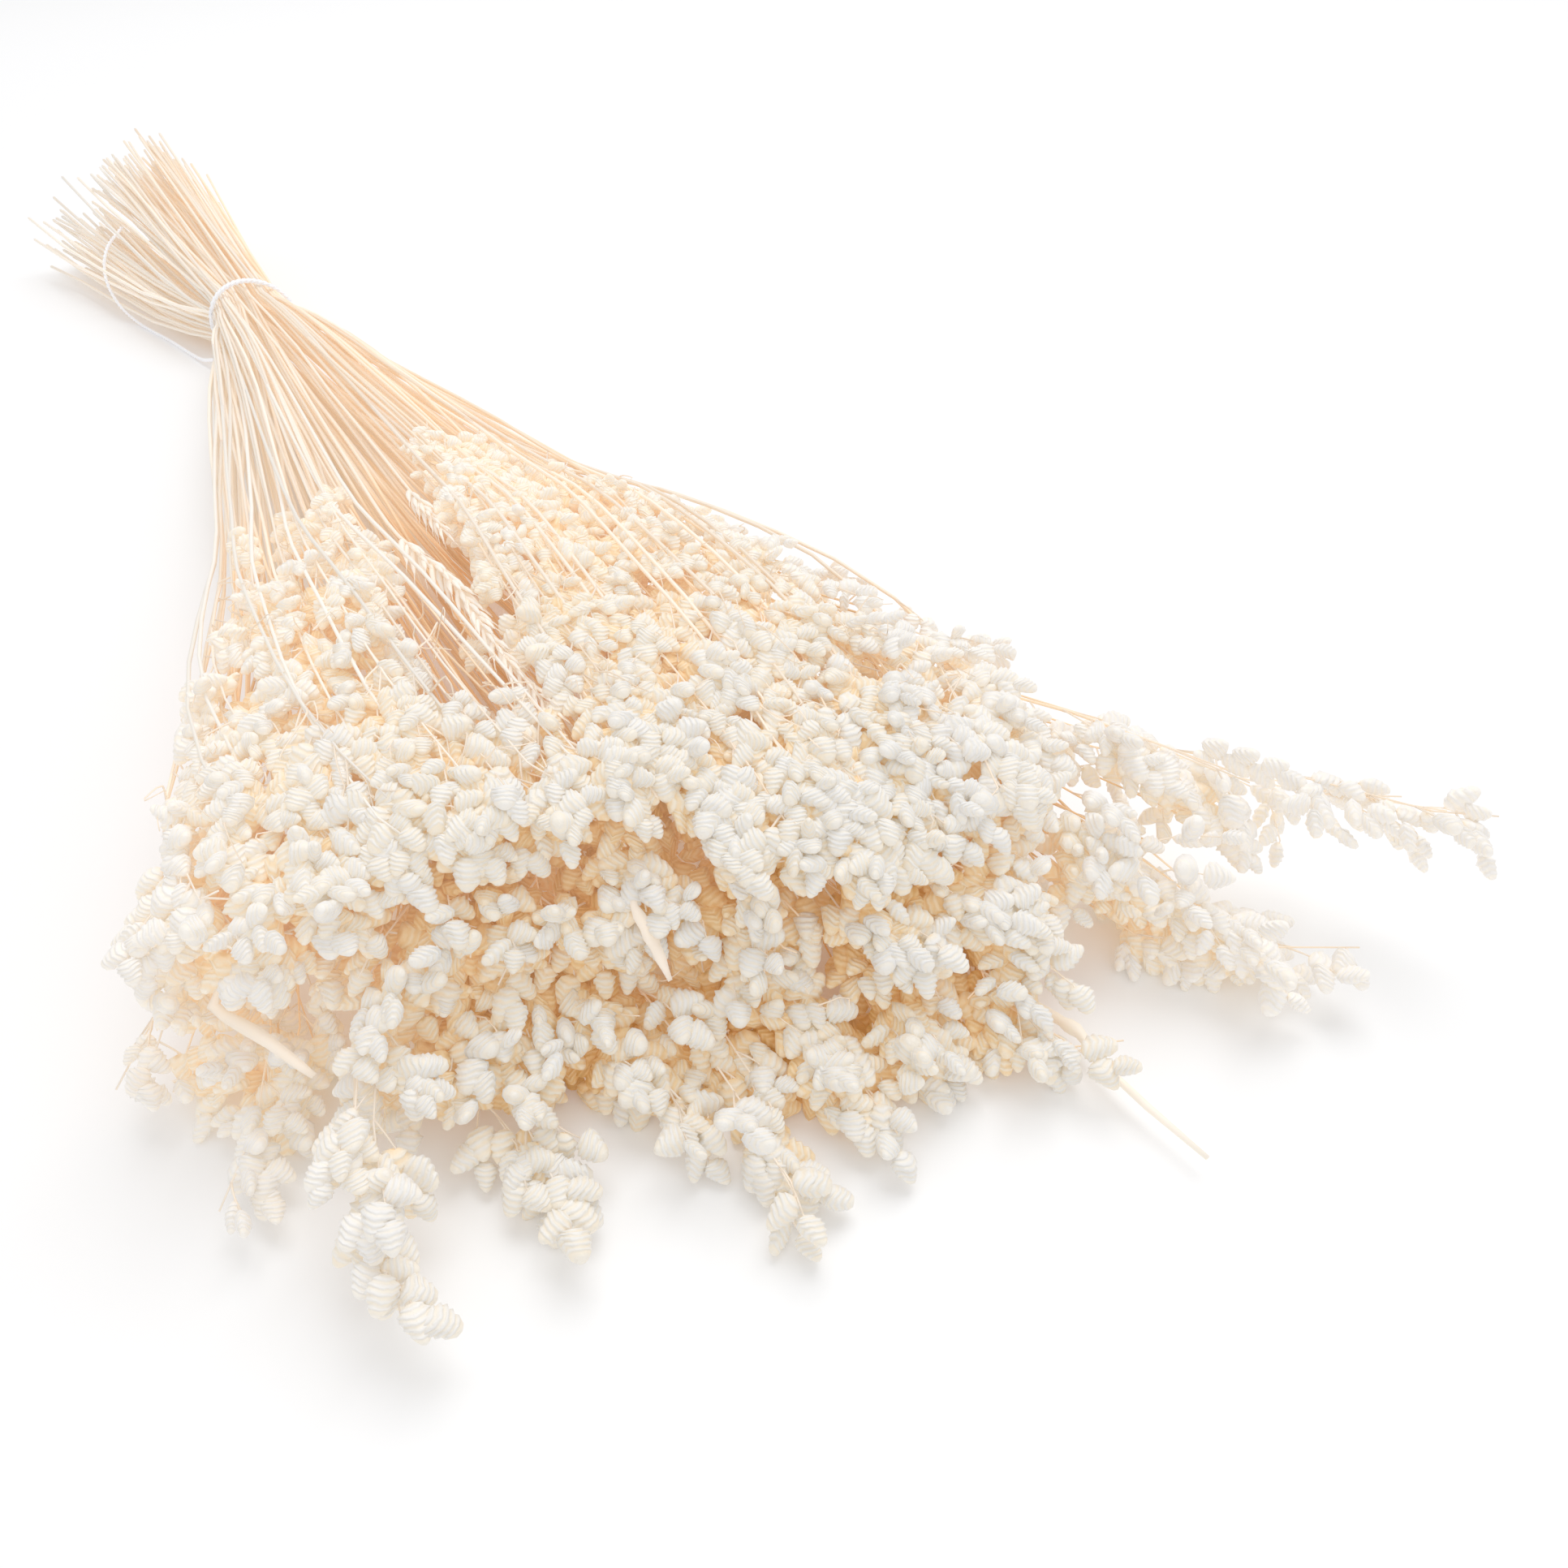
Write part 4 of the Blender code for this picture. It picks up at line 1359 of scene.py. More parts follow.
    def lump(self, point: Array) -> float:
        """How far the heads swell at a place.

        Args:
            point: The place.

        Returns:
            The swell, from -1 to 1.
        """
        x, y = point[0], point[1]
        (long_wave, long_bend, across_bend), (cross_wave, cross_bend, along_bend) = self.lump_waves
        along = math.sin(x / long_wave + long_bend * math.sin(y / across_bend))
        return along * math.sin(y / cross_wave + cross_bend * math.sin(x / along_bend) + self.lump_start)

    def keep_chance(self, stem: Stem, foot: Array, point: Array) -> float:
        """How likely a branch is to be there: nearly sure near the outside, less so deep inside.

        Args:
            stem: Its stem.
            foot: Where it leaves the stem.
            point: Its end.

        Returns:
            The chance, from 0 to 1.
        """
        layout = self.layout
        if self.in_free_part(stem, foot[0]):
            return 1.0
        scale = layout.outline_width(layout.sizes.head_station) / layout.outline_width(foot[0])
        early, full = (on_table(self.grown_from, foot[1] * scale, column) for column in (1, 2))
        least = self.scattered if foot[0] > early else 0.0
        grown = float(np.clip(1 - (full - foot[0]) / self.fade_run, least, 1))
        depth = layout.depth(point)
        swollen = 1 + self.swell * self.lump(point)
        if depth < self.shallow:
            return self.keep_shallow * grown * swollen
        return grown * (self.keep_middle if depth < self.middle else self.keep_deep)

    def hang_spikelets(self, stem: Stem, branch: Array) -> None:
        """Plans the spikelets along one branch, left and right of it in turn.

        Args:
            stem: The stem that the branch belongs to.
            branch: The branch's path.
        """
        rng, layout = self.rng, self.layout
        end = branch[-1]
        length = float(np.linalg.norm(end - branch[0]))
        scale = self.scale_at(end[0])
        marks = np.arange(length, self.bare_share * length, -self.spikelet_step * scale)
        along = unit(end - branch[0])
        left, right, _ = layout.outline_at(end[0])
        lean = (2 * end[1] - left - right) / (right - left)
        forward, more_forward, front_run = self.facing_front
        front = kept_share(1 - (layout.front_at(end[1], end[2]) - end[0]) / front_run)
        facing = np.array([forward + more_forward * front, self.facing_side * lean ** 3, 1.0])
        across = unit(np.cross(along, unit(facing + rng.normal(0, self.facing_spread, 3))))
        warmth = 0.0 if stem.white else self.warmth[0] + self.warmth[1] * rng.uniform()
        self.branches += 1
        for number, mark in enumerate(marks):
            place = mark / length * (len(branch) - 1)
            index = min(int(place), len(branch) - 2)
            root = branch[index] + (branch[index + 1] - branch[index]) * (place - index)
            side = across * (1 if number % 2 else -1) * (self.spikelet_side if number else self.end_side)
            lean = rng.normal(0, self.heading_spread, 3)
            heading = unit(self.along_share * along + side - self.droop * UP + lean)
            size = scale * rng.uniform(*self.spikelet_length) * (1.0 if number else self.end_length)
            wide = across + rng.normal(0, self.wide_spread, 3)
            tone = kept_share((stem.tone + rng.uniform()) / 2)
            shape = int(rng.integers(0, SHAPES))
            centre = root + heading * (self.stalk_gap + size / 2)
            self.spikelets.append(Spikelet(
                stem.wisp, self.branches, centre, heading, wide, root, size, tone, shape, warmth,
            ))

    def move_apart(self) -> None:
        """Pushes spikelets of different branches out of each other, and keeps all above the surface."""
        centres = np.array([spikelet.centre for spikelet in self.spikelets])
        branches = [spikelet.branch for spikelet in self.spikelets]
        for _ in range(self.push_rounds):
            tree = kdtree.KDTree(len(centres))
            for index, centre in enumerate(centres):
                tree.insert(centre, index)
            tree.balance()
            moves = np.zeros_like(centres)
            for index, centre in enumerate(centres):
                for other, near, distance in tree.find_range(centre, self.gap):
                    if near > index and distance > 0 and branches[near] != branches[index]:
                        away = (centre - np.array(other)) / distance
                        push = away * self.push_share * (self.gap - distance)
                        moves[index] += push
                        moves[near] -= push
            centres += np.clip(moves, -self.push_most, self.push_most)
            centres[:, 2] = np.maximum(centres[:, 2], self.spikelet_low)
        for spikelet, centre in zip(self.spikelets, centres):
            spikelet.centre = centre

    def covers(self, centres: Array) -> Array:
        """How much the others cover each spikelet, as the mean of its two most open sides.

        Args:
            centres: The middles of all spikelets.

        Returns:
            The cover of each, from 0 for one that lies open.
        """
        order = np.argsort(centres[:, 0])
        sorted_centres = centres[order]
        heights = sorted_centres @ unit(np.array(self.open_sides, float)).T
        xs = sorted_centres[:, 0]
        cover = np.zeros((len(centres), len(self.open_sides)))
        for first in range(0, len(centres), self.shade_block):
            rows = slice(first, min(first + self.shade_block, len(centres)))
            near = slice(
                np.searchsorted(xs, xs[rows][0] - self.shade_reach),
                np.searchsorted(xs, xs[rows][-1] + self.shade_reach),
            )
            gaps = sorted_centres[None, near] - sorted_centres[rows, None]
            distance = np.maximum(np.linalg.norm(gaps, axis=2), TOUCHING)
            weight = np.clip(1 - distance / self.shade_reach, 0, 1)
            for side in range(len(self.open_sides)):
                rise = (heights[None, near, side] - heights[rows, None, side]) / distance
                cover[order[rows], side] = (np.clip(rise - self.shade_slope, 0, 1) * weight).sum(axis=1)
        return np.sort(cover, axis=1)[:, :self.open_counted].mean(axis=1)

    def rank(self) -> None:
        """Finds how much the others shade each spikelet, and shapes those that lie outermost most finely."""
        centres = np.array([spikelet.centre for spikelet in self.spikelets])
        cover = self.covers(centres)
        shades = 1 - np.exp(-cover / self.shade_half)
        distance = np.linalg.norm(centres - np.array(EYE), axis=1)
        order = [
            index for index in np.argsort(cover + self.near_eye * distance)
            if cover[index] < self.hidden_cover or self.rng.uniform() < self.hidden_share
        ]
        for position, index in enumerate(order):
            spikelet = self.spikelets[index]
            spikelet.shade = float(shades[index])
            if position < self.fine_count:
                spikelet.detail = Detail.FINE
            elif position < self.fine_count + self.medium_count:
                spikelet.detail = Detail.MEDIUM
        self.spikelets = [self.spikelets[index] for index in order]


class Nodes:
    """The shader nodes of one material, which are joined as they are made."""

    def __init__(self, name: str) -> None:
        """Starts a material.

        Args:
            name: Its name.
        """
        self.material = bpy.data.materials.new(name)
        self.material.use_nodes = True
        self.tree = self.material.node_tree
        self.shader = self.tree.nodes["Principled BSDF"]

    def feed(self, node: bpy.types.Node, inputs: Inputs) -> None:
        """Sets or links a node's inputs.

        Args:
            node: The node.
            inputs: A value, or the output of another node, for each input.
        """
        for key, value in inputs.items():
            if isinstance(value, bpy.types.NodeSocket):
                self.tree.links.new(value, node.inputs[key])
            else:
                node.inputs[key].default_value = value

    def add(self, kind: str, inputs: Inputs, output: str | int = 0) -> bpy.types.NodeSocket:
        """Adds a node.

        Args:
            kind: What it is.
            inputs: A value, or the output of another node, for each input.
            output: The output that is wanted.

        Returns:
            That output.
        """
        node = self.tree.nodes.new(f"ShaderNode{kind}")
        self.feed(node, inputs)
        return node.outputs[output]

    def value(self, name: str, output: str = "Fac") -> bpy.types.NodeSocket:
        """Reads one of the values that a Surface keeps at each point.

        Args:
            name: The value's name.
            output: The form that is wanted.

        Returns:
            The output.
        """
        node = self.tree.nodes.new("ShaderNodeAttribute")
        node.attribute_name = name
        return node.outputs[output]

    def sum(
        self, operation: str, *inputs: object, kind: str = "Math", **named: object,
    ) -> bpy.types.NodeSocket:
        """Adds a sum.

        Args:
            operation: What it does.
            inputs: Its inputs in order.
            kind: Math for numbers, VectorMath for colours.
            named: Inputs that are given by name.

        Returns:
            The result.
        """
        node = self.tree.nodes.new(f"ShaderNode{kind}")
        node.operation = operation
        self.feed(node, {**dict(enumerate(inputs)), **named})
        return node.outputs[0]

    def ramp(self, stops: Stops, place: bpy.types.NodeSocket) -> bpy.types.NodeSocket:
        """Adds a run of colours.

        Args:
            stops: The place and the colour of each stop.
            place: Where to read it.

        Returns:
            The colour.
        """
        node = self.tree.nodes.new("ShaderNodeValToRGB")
        elements = node.color_ramp.elements
        elements.remove(elements[1])
        for order, (position, colour) in enumerate(stops):
            stop = elements.new(position) if order else elements[0]
            stop.position = position
            stop.color = (*colour, 1.0)
        self.feed(node, {"Fac": place})
        return node.outputs["Color"]


@dataclass(frozen=True)
class DryFinish:
    """A dry plant finish whose colour runs from pale to deep with the warmth of each point, which holds
    painted shade as well as the plant's own tone, and whose emission is a painted glow.
    """

    name: str
    colours: Stops
    inner_light: Stops
    roughness: float = 0.5
    tone_range: float = 0.1
    mottle: float = 0.16
    grain_scale: float = 900.0
    grain_detail: float = 3.0
    grain_height: float = 0.00012
    grain_depth: float = 0.5
    stretch: Place = (1.0, 1.0, 1.0)
    glow: float = 0.0
    glow_radius: Place = (1.0, 0.72, 0.42)
    glow_scale: float = 0.0016
    ridge_height: float = 0.0
    ridge_sway: float = 0.6
    # Painted shade in the grooves between the scales, as a warmer, deeper colour
    groove_shade_warm: float = 0.0
    through_light: Place = (0.0, 0.0, 0.0)

    def build(self) -> bpy.types.Material:
        """Makes the material.

        Returns:
            The material, driven by the piece's warm, tone, ridge and through values.
        """
        nodes = Nodes(self.name)
        place = nodes.add("TexCoord", {}, "Object")
        stretched = nodes.add("Mapping", {"Vector": place, "Scale": self.stretch})
        noise = {"Vector": stretched, "Scale": self.grain_scale, "Detail": self.grain_detail}
        grain = nodes.add("TexNoise", noise, "Fac")
        crest = self.crest(nodes, grain)
        # The grain mottles the colour, and the grooves between the scales get painted shade.
        mottled = nodes.sum("MULTIPLY_ADD", grain, self.mottle, nodes.value("warm"))
        level = nodes.sum("SUBTRACT", mottled, (self.mottle - self.groove_shade_warm) / 2)
        warm = nodes.sum("MULTIPLY_ADD", crest, -self.groove_shade_warm / 2, level)
        # Painted glow: the emission stands for light scattered among the pieces and for light shining
        # through them from behind.
        through = nodes.value("through", "Vector")
        inner = nodes.ramp(self.inner_light, warm)
        lit = nodes.sum("MULTIPLY_ADD", through, self.through_light, inner, kind="VectorMath")
        tones = {"To Min": 1 - self.tone_range, "To Max": 1 + self.tone_range / 2}
        brightness = nodes.add("MapRange", {"Value": nodes.value("tone"), **tones})
        plain = nodes.ramp(self.colours, warm)
        colour = nodes.sum("SCALE", plain, kind="VectorMath", Scale=brightness)
        relief = nodes.sum("MULTIPLY_ADD", crest, self.ridge_height / self.grain_height, grain)
        bump = {"Strength": self.grain_depth, "Distance": self.grain_height, "Height": relief}
        nodes.feed(nodes.shader, {
            "Base Color": colour,
            "Normal": nodes.add("Bump", bump),
            "Roughness": self.roughness,
            "Emission Color": lit,
            "Emission Strength": 1.0,
            "Subsurface Weight": self.glow,
            "Subsurface Radius": self.glow_radius,
            "Subsurface Scale": self.glow_scale,
        })
        return nodes.material

    def crest(self, nodes: Nodes, grain: bpy.types.NodeSocket) -> bpy.types.NodeSocket:
        """Adds a wave over the ridges, made uneven by the grain.

        Args:
            nodes: The material's nodes.
            grain: Its grain.

        Returns:
            The wave, which is 1 on the crest of a ridge and -1 in a groove.
        """
        uneven = nodes.sum("MULTIPLY_ADD", grain, self.ridge_sway, nodes.value("ridge"))
        phase = nodes.sum("MULTIPLY_ADD", uneven, 2 * math.pi, -math.pi * self.ridge_sway)
        return nodes.sum("COSINE", phase)


# The husk's own colour is the ivory at the pale end of the run. The deeper orange stops are painted shade
# for spikelets in the gaps, inner_light is a painted glow of light scattered among the spikelets, and
# through_light is a painted glow of light shining through them from behind.
HUSK = DryFinish(
    "waxy_husk",
    colours=(
        (0.0, (0.9, 0.885, 0.87)),
        (0.1, (0.91, 0.88, 0.83)),
        (0.26, (0.91, 0.82, 0.67)),
        (0.5, (0.92, 0.635, 0.32)),
        (0.78, (0.8, 0.42, 0.13)),
        (1.0, (0.6, 0.27, 0.06)),
    ),
    inner_light=(
        (0.0, (0.015, 0.014, 0.013)),
        (0.12, (0.03, 0.026, 0.019)),
        (0.3, (0.085, 0.064, 0.036)),
        (0.6, (0.105, 0.059, 0.02)),
        (0.9, (0.07, 0.03, 0.006)),
    ),
    tone_range=0.05,
    grain_depth=0.8,
    ridge_height=0.00009,
    groove_shade_warm=0.17,
    through_light=(0.2, 0.155, 0.11),
)
# The deepest stops of the straw's run are painted shade deep inside the heads, and its inner_light is a
# painted glow between the stems.
STRAW = DryFinish(
    "dry_straw",
    colours=(
        (0.0, (0.97, 0.9, 0.8)),
        (0.3, (0.97, 0.81, 0.64)),
        (0.55, (0.97, 0.69, 0.43)),
        (1.0, (0.85, 0.44, 0.17)),
    ),
    inner_light=(
        (0.0, (0.1, 0.08, 0.06)),
        (0.5, (0.2, 0.13, 0.075)),
        (0.75, (0.12, 0.06, 0.025)),
        (1.0, (0.04, 0.018, 0.006)),
    ),
    tone_range=0.22,
    grain_scale=700.0,
    stretch=(0.06, 1.0, 1.0),
    glow=0.15,
)
# Its inner_light is a painted glow that keeps the string pale where it lies in shade.
COTTON = DryFinish(
    "white_cotton",
    colours=((0.0, (0.93, 0.93, 0.96)), (1.0, (0.8, 0.79, 0.82))),
    inner_light=((0.0, (0.13, 0.13, 0.135)), (1.0, (0.05, 0.05, 0.055))),
    roughness=0.85,
    tone_range=0.05,
    grain_scale=2600.0,
    glow=0.15,
)


@dataclass
class Wisp:
    """Several flowering stems that run side by side: their straw and their scaled heads."""

    number: int
    index: int
    panicles: Panicles
    forms: SpikeletForms
    # Painted shade: spikelets that others cover, and the lower side of each, are coloured warmer and deeper
    shade_warm: float = 1.42
    shade_free: float = 0.08
    underside_shade_warm: float = 0.08
    end_warm: float = 0.2
    # Toward the tie the heads are coloured warmer and get a painted glow, as of light shining through them
    # from behind
    back_start: float = 335.0
    back_run: float = 120.0
    back_warm: float = 0.05
    # Painted light: toward the bunch's sides the painted shade is weaker, the colour paler and the painted
    # glow stronger
    side_middle: float = 15.0
    side_start: float = 35.0
    side_run: float = 45.0
    side_painted_light: float = 0.1
    side_shade: float = 0.45
    side_through: float = 0.6
    underside_shade_base: float = 0.2
    lowest: float = 0.05

    def build(self, straw: bpy.types.Material, husk: bpy.types.Material) -> list[bpy.types.Object]:
        """Makes the wisp's two pieces, which stand for its node.

        Args:
            straw: The finish of the stems.
            husk: The finish of the heads.

        Returns:
            The stems and the heads.
        """
        node = f"wisp_{self.number:02d}"
        return [
            self.stems().to_piece(f"{node}_stems", node, "bleached_grass", straw),
            self.heads().to_piece(f"{node}_heads", node, "bleached_grass", husk),
        ]

    def stems(self) -> Surface:
        """Shapes the stems, branches and stalks.

        Returns:
            Their surface.
        """
        surface = Surface()
        for strand in self.panicles.strands:
            if strand.wisp == self.index:
                warm = np.repeat(np.broadcast_to(strand.warm, len(strand.path)), strand.sides)
                surface.add(sweep(strand.path, strand.radii, strand.sides, strand.flat), warm, strand.tone)
        return surface

    def heads(self) -> Surface:
        """Shapes the spikelets, finest where they can be seen.

        Returns:
            Their surface.
        """
        surface = Surface()
        for spikelet in self.panicles.spikelets:
            if spikelet.wisp == self.index:
                self.add_spikelet(surface, spikelet)
        return surface

    def add_spikelet(self, surface: Surface, spikelet: Spikelet) -> None:
        """Adds one spikelet, turned and sized.

        Args:
            surface: The surface that takes it.
            spikelet: The spikelet.
        """
        form = self.forms.forms[spikelet.detail][spikelet.shape]
        wide = unit(spikelet.wide - spikelet.heading * (spikelet.wide @ spikelet.heading))
        axes = np.stack([spikelet.heading, wide, np.cross(spikelet.heading, wide)])
        plain, quads, triangles = form.shape
        points = spikelet.base + plain @ axes * spikelet.length
        points[:, 2] = np.maximum(points[:, 2], self.lowest)
        x, y, z = spikelet.centre
        # Painted shade on each spikelet's lower side and where others cover it; painted light toward the
        # bunch's sides, and painted glow there and toward the tie.
        under = np.clip((z - points[:, 2]) / spikelet.length + self.underside_shade_base, 0, 1)
        back = kept_share((self.back_start - x) / self.back_run)
        side = kept_share((abs(y - self.side_middle) - self.side_start) / self.side_run)
        shade = max(0.0, spikelet.shade - self.shade_free) * (1 - self.side_shade * side)
        warm = spikelet.warmth + self.back_warm * back + self.end_warm * form.warm + self.underside_shade_warm * under
        warm = np.clip(warm + self.shade_warm * shade - self.side_painted_light * side, 0, 1)
        through = min(1.0, back + self.side_through * side)
        surface.add((points, quads, triangles), warm, spikelet.tone, form.ridge, through)


@dataclass
class ForeignEar:
    """The slender ear of another grass on its one stem."""

    number: int
    layout: Layout
    seed: int = 60
    marks: tuple[float, ...] = (-150, -110, -70, -35, -7, 7, 30, 70, 120)
    head_marks: tuple[float, float] = (150.0, 8.0)
    stem_radii: tuple[float, float] = (0.55, 0.3)
    stem_warm: float = 0.3
    stem_tone: float = 0.6
    sides: int = 5
    step: float = 0.95
    turn_spread: float = 0.4
    taper: float = 0.45
    scale_length: float = 9.0
    scale_width: float = 0.62
    scale_marks: tuple[float, ...] = (0.0, 0.2, 0.5, 0.8, 1.0)
    scale_widths: tuple[float, ...] = (0.35, 0.85, 1.0, 0.6, 0.1)
    scale_flat: float = 0.62
    scale_bow: float = 0.3
    scale_arch: float = 3.0
    scale_warmth: tuple[float, float] = (0.02, 0.12)
    scale_tone: tuple[float, float] = (0.5, 1.0)
    lean: float = math.radians(12)
    lean_spread: tuple[float, float] = (0.7, 1.3)
    awn: float = 5.5
    awn_radii: tuple[float, ...] = (0.12, 0.1, 0.05)
    awn_warm: float = 0.2
    awn_tone: float = 0.8

    def build(self, straw: bpy.types.Material) -> bpy.types.Object:
        """Makes the ear, which stands for its node.

        Args:
            straw: Its finish.

        Returns:
            The piece.
        """
        sizes = self.layout.sizes
        wisp, (start, end) = sizes.ear_places[self.number - 1], sizes.ear_spans[self.number - 1]
        rng = np.random.default_rng(self.seed + self.number)
        surface = Surface()
        first, step = self.head_marks
        line = self.layout.line(wisp, np.concatenate([self.marks, np.arange(first, end + 1, step)]))
        radii = np.linspace(*self.stem_radii, len(line))
        surface.add(sweep(line, radii, self.sides), self.stem_warm, self.stem_tone)
        turn = 0.0
        marks = np.array(self.scale_marks)[:, None]
        for x in np.arange(start, end, self.step):
            foot = np.array([x, *self.layout.at(wisp, x)])
            turn += GOLDEN_TURN + rng.uniform(-self.turn_spread, self.turn_spread)
            out = np.array([0.0, *around(turn)])
            taper = 1 - self.taper * (x - start) / (end - start)
            lean = self.lean * rng.uniform(*self.lean_spread)
            heading = FORWARD * math.cos(lean) + out * math.sin(lean)
            bow = self.scale_bow * np.sin(marks * self.scale_arch)
            path = foot + heading * (marks * self.scale_length * taper) + out * bow
            radii = self.scale_width * taper * np.array(self.scale_widths)
            warm = self.scale_warmth[0] + self.scale_warmth[1] * rng.uniform()
            surface.add(sweep(path, radii, self.sides, self.scale_flat), warm, rng.uniform(*self.scale_tone))
            awn_marks = np.linspace(0, 1, len(self.awn_radii))[:, None]
            bristle = path[-2] + heading * (awn_marks * self.awn * taper)
            shape = sweep(bristle, np.array(self.awn_radii), TWIG_SIDES)
            surface.add(shape, self.awn_warm, self.awn_tone)
        node = f"foreign_ear_{self.number}"
        return surface.to_piece(f"{node}_scaled", node, "pale_straw", straw)


@dataclass
class BareStem:
    """The stem whose head has broken off, with a joint near its end."""

    layout: Layout
    marks: tuple[float, ...] = (-150, -110, -70, -35, -7, 7, 30, 60)
    head_marks: tuple[float, float, float] = (90.0, 350.0, 14.0)
    end_marks: tuple[float, ...] = (372, 380)
    radius: float = 0.85
    sides: int = 8
    joint: float = 364.0
    joint_marks: tuple[float, ...] = (-12, -4, -1.6, -0.6, 0.6, 1.6)
    joint_half: float = 1.0
    joint_width: float = 1.15
    past_joint: float = 0.7
    broken_tip: float = 0.45
    warm: float = 0.12
    tone: float = 0.8

    def build(self, straw: bpy.types.Material) -> bpy.types.Object:
        """Makes the stem, which stands for its node.

        Args:
            straw: Its finish.

        Returns:
            The piece.
        """
        sizes = self.layout.sizes
        around_joint = self.joint + np.array(self.joint_marks)
        stations = np.concatenate([
            self.marks, np.arange(*self.head_marks), around_joint, self.end_marks, [sizes.bare_end[0]],
        ])
        line = self.layout.line(sizes.bare_place, stations)
        radii = np.full(len(line), self.radius)
        radii[np.abs(stations - self.joint) < self.joint_half] = self.joint_width
        radii[stations > around_joint[-1]] = self.radius * self.past_joint
        radii[-1] = self.radius * self.broken_tip
        line[:, 2] = np.maximum(line[:, 2], radii)
        surface = Surface()
        surface.add(sweep(line, radii, self.sides), self.warm, self.tone)
        return surface.to_piece("bare_stem_jointed", "bare_stem", "pale_straw", straw)


@dataclass
class TwistedString:
    """Soft two-ply string."""

    ply_radius: float = 0.36
    ply_offset: float = 0.29
    lay: float = 3.4
    sides: int = 6

    def wound(self, path: Array) -> list[Shape]:
        """Both plies, twisted round each other along a path.

        Args:
            path: The string's middle line, in points a fraction of a millimetre apart.

        Returns:
            The shape of each ply.
        """
        steep = np.abs(unit(np.gradient(path, axis=0))[:, 2:3]) > STEEP
        across, above = frames_along(path, np.where(steep, FORWARD, UP))
        run = lengths_along(path)[:, None]
        plies = []
        for ply in (0, 1):
            turn = 2 * math.pi * run / self.lay + ply * math.pi
            middle = path + self.ply_offset * (np.cos(turn) * across + np.sin(turn) * above)
            plies.append(sweep(middle, self.ply_radius, self.sides))
        return plies


@dataclass
class StringTie:
    """The turns of string that hold the stems, with their knot."""

    string: TwistedString
    turns: int = 3
    turn_steps: int = 150
    slack: float = 0.12
    slack_waves: float = 3.0
    slack_start: float = 1.0
    lift: float = 0.05
    knot_turn: float = math.radians(212)
    knot_radius: float = 2.2
    knot_steps: int = 90
    warm: float = 0.1
    tone: float = 0.5

    def build(self, cotton: bpy.types.Material) -> bpy.types.Object:
        """Makes the tie, which stands for its node.

        Args:
            cotton: Its finish.

        Returns:
            The piece.
        """
        surface = Surface()
        for path in (self.wraps(), self.knot()):
            for shape in self.string.wound(path):
                surface.add(shape, self.warm, self.tone)
        return surface.to_piece("tie_wound", "tie", "white_string", cotton)

    def wraps(self) -> Array:
        """Lays the turns, pressed flat where they meet the surface.

        Returns:
            Their middle line.
        """
        half = SIZES.string / 2
        turn = self.knot_turn + np.linspace(0, 2 * math.pi * self.turns, self.turn_steps * self.turns)
        slack = self.slack * np.sin(self.slack_waves * turn + self.slack_start)
        reach = SIZES.tie_inner + half + slack
        x = np.linspace(-1, 1, len(turn)) * SIZES.string * (self.turns - 1) / 2
        z = np.maximum(SIZES.tie_height + reach * np.sin(turn), half + self.lift)
        return np.stack([x, reach * np.cos(turn), z], axis=1)

    def knot(self) -> Array:
        """Ties the knot, as a trefoil drawn tight.

        Returns:
            Its middle line.
        """
        y, z = (SIZES.tie_outer + self.knot_radius / 2) * around(self.knot_turn)
        middle = np.array([0.0, y, SIZES.tie_height + z])
        t = np.linspace(0, 2 * math.pi, self.knot_steps)
        across = np.sin(t) + 2 * np.sin(2 * t)
        above = np.cos(t) - 2 * np.cos(2 * t)
        loop = np.stack([np.sin(3 * t), across, above], axis=1)
        return middle + loop / 3 * (self.knot_radius - self.string.ply_radius - self.string.ply_offset)


@dataclass
class LooseString:
    """The loose end of the tie's string, which lies behind the knot and rises over the cut stems."""

    string: TwistedString
    route: tuple[Place, ...] = (
        (-2.6, -16.5, 3.4),
        (-14, -20.5, 1.2),
        (-40, -27.5, 0.8),
        (-66, -36, 1.2),
        (-79, -41, 6),
        (-86, -42, 14),
        (-93, -38.5, 21.5),
        (-104, -31, 26),
    )
    step: float = 0.45
    measured_points: int = 400
    warm: float = 0.0
    tone: float = 0.6

    def build(self, cotton: bpy.types.Material) -> bpy.types.Object:
        """Makes the loose end, which stands for its node.

        Args:
            cotton: Its finish.

        Returns:
            The piece.
        """
        route = np.array(self.route, float)
        length = float(lengths_along(curve_through(route, self.measured_points))[-1])
        path = curve_through(route, round(length / self.step))
        surface = Surface()
        for shape in self.string.wound(path):
            surface.add(shape, self.warm, self.tone)
        piece = surface.to_piece("tie_string_twisted", "tie_string", "white_string", cotton)
        LOG.info("%s: %.0f mm long", piece.name, length)
        return piece


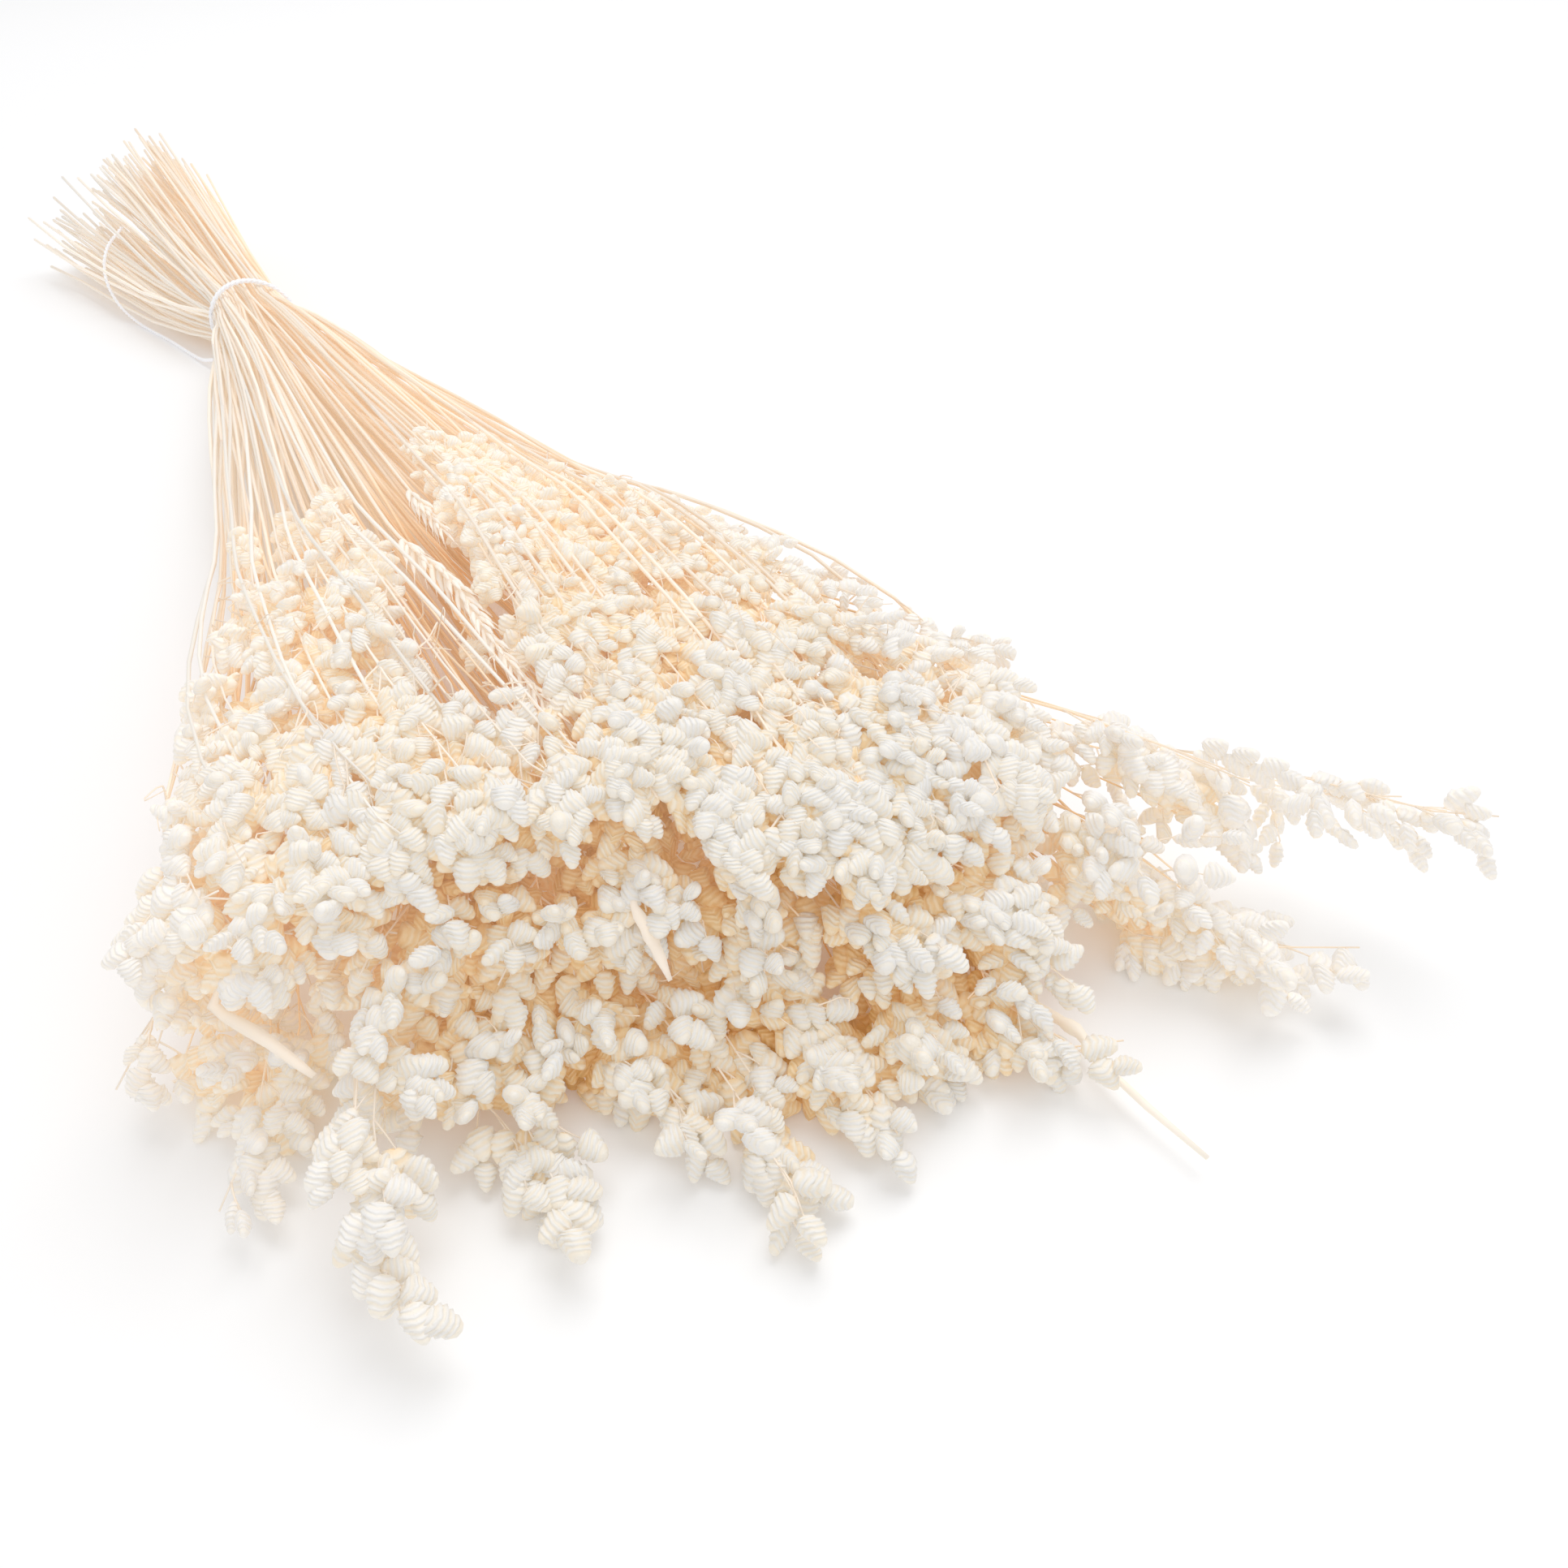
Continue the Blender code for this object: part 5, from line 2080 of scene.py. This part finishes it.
@dataclass
class Studio:
    """The pale surface, the light and the camera."""

    floor_size: float = 9.0
    floor_colour: Place = (0.98, 0.985, 1.0)
    floor_roughness: float = 0.5
    floor_glow: float = 0.02
    frame_pixels: int = 1932
    focal_pixels: float = 1400.0
    sensor: float = 36.0
    clip: tuple[float, float] = (0.01, 50.0)
    right: Place = (0.46942, 0.88297, 0.0)
    pitch: float = math.radians(39.5)
    exposure: float = -0.1
    gamma: float = 1.5
    world_colour: Place = (1.0, 0.995, 0.985)
    world_strength: float = 0.68
    lamps: tuple[tuple[str, Place, float, float], ...] = (
        ("window", (-700, 900, 2500), 42.0, 2.2),
        ("front_card", (1900, -500, 1100), 6.0, 3.0),
    )
    aim: Place = (230.0, 15.0, 20.0)

    def build(self) -> None:
        """Sets the floor, the light and the camera up."""
        self.floor()
        self.light()
        self.camera()
        view = bpy.context.scene.view_settings
        view.view_transform = "Standard"
        view.look = "None"
        view.exposure = self.exposure
        view.gamma = self.gamma

    def floor(self) -> None:
        """A plain pale surface."""
        half = self.floor_size / 2
        mesh = bpy.data.meshes.new("pale_surface")
        corners = [(-half, -half, 0), (half, -half, 0), (half, half, 0), (-half, half, 0)]
        mesh.from_pydata(corners, [], [(0, 1, 2, 3)])
        nodes = Nodes("pale_surface")
        nodes.feed(nodes.shader, {
            "Base Color": (*self.floor_colour, 1.0),
            "Roughness": self.floor_roughness,
            "Emission Color": (1.0, 1.0, 1.0, 1.0),
            "Emission Strength": self.floor_glow,
        })
        mesh.materials.append(nodes.material)
        floor = bpy.data.objects.new("pale_surface", mesh)
        bpy.context.scene.collection.objects.link(floor)

    def light(self) -> None:
        """A bright even sky, one large soft light above the bunch and a weaker one in front."""
        world = bpy.data.worlds.new("studio")
        world.use_nodes = True
        sky = world.node_tree.nodes["Background"]
        sky.inputs["Color"].default_value = (*self.world_colour, 1.0)
        sky.inputs["Strength"].default_value = self.world_strength
        bpy.context.scene.world = world
        for name, spot, power, size in self.lamps:
            lamp = bpy.data.lights.new(name, "AREA")
            lamp.energy = power
            lamp.size = size
            back = unit(np.array(spot) - np.array(self.aim))
            self.hang(bpy.data.objects.new(name, lamp), spot, unit(np.cross(UP, back)), back)

    def camera(self) -> None:
        """The camera, low in front of the heads and turned along the bunch."""
        data = bpy.data.cameras.new("view")
        data.sensor_fit = "HORIZONTAL"
        data.sensor_width = self.sensor
        data.lens = self.sensor * self.focal_pixels / self.frame_pixels
        data.clip_start, data.clip_end = self.clip
        right = np.array(self.right)
        forward = np.cross(UP, right) * math.cos(self.pitch) - UP * math.sin(self.pitch)
        view = bpy.data.objects.new("view", data)
        self.hang(view, EYE, right, -forward)
        bpy.context.scene.camera = view

    def hang(self, obj: bpy.types.Object, spot: Place, right: Array, back: Array) -> None:
        """Places a lamp or the camera and turns it.

        Args:
            obj: The lamp or the camera.
            spot: Its place in the bunch's own frame.
            right: The direction to its right.
            back: The direction behind it.
        """
        place = (np.array(spot) + ORIGIN) * MM
        axes = np.stack([right, np.cross(back, right), back, place], axis=1)
        obj.matrix_world = Matrix([*axes.tolist(), (0, 0, 0, 1)])
        bpy.context.scene.collection.objects.link(obj)


ORIGIN = packed_origin()


def main() -> None:
    """Builds the bunch and its studio."""
    logging.basicConfig(level=logging.INFO, format="%(message)s")
    Studio().build()
    layout = Layout(SIZES)
    straw, husk, cotton = STRAW.build(), HUSK.build(), COTTON.build()
    string = TwistedString()
    pieces = [LooseString(string).build(cotton), StringTie(string).build(cotton)]
    panicles = Panicles(layout)
    panicles.build()
    LOG.info("%d strands, %d spikelets", len(panicles.strands), len(panicles.spikelets))
    forms = SpikeletForms()
    forms.build()
    for number, index in enumerate(panicles.wisps, 1):
        pieces += Wisp(number, index, panicles, forms).build(straw, husk)
    pieces += [ForeignEar(number, layout).build(straw) for number in (1, 2)]
    pieces.append(BareStem(layout).build(straw))
    for piece in pieces:
        mesh = piece.data
        LOG.info("%s: %d triangles", piece.name, len(mesh.loops) - 2 * len(mesh.polygons))


if __name__ == "__main__":
    main()
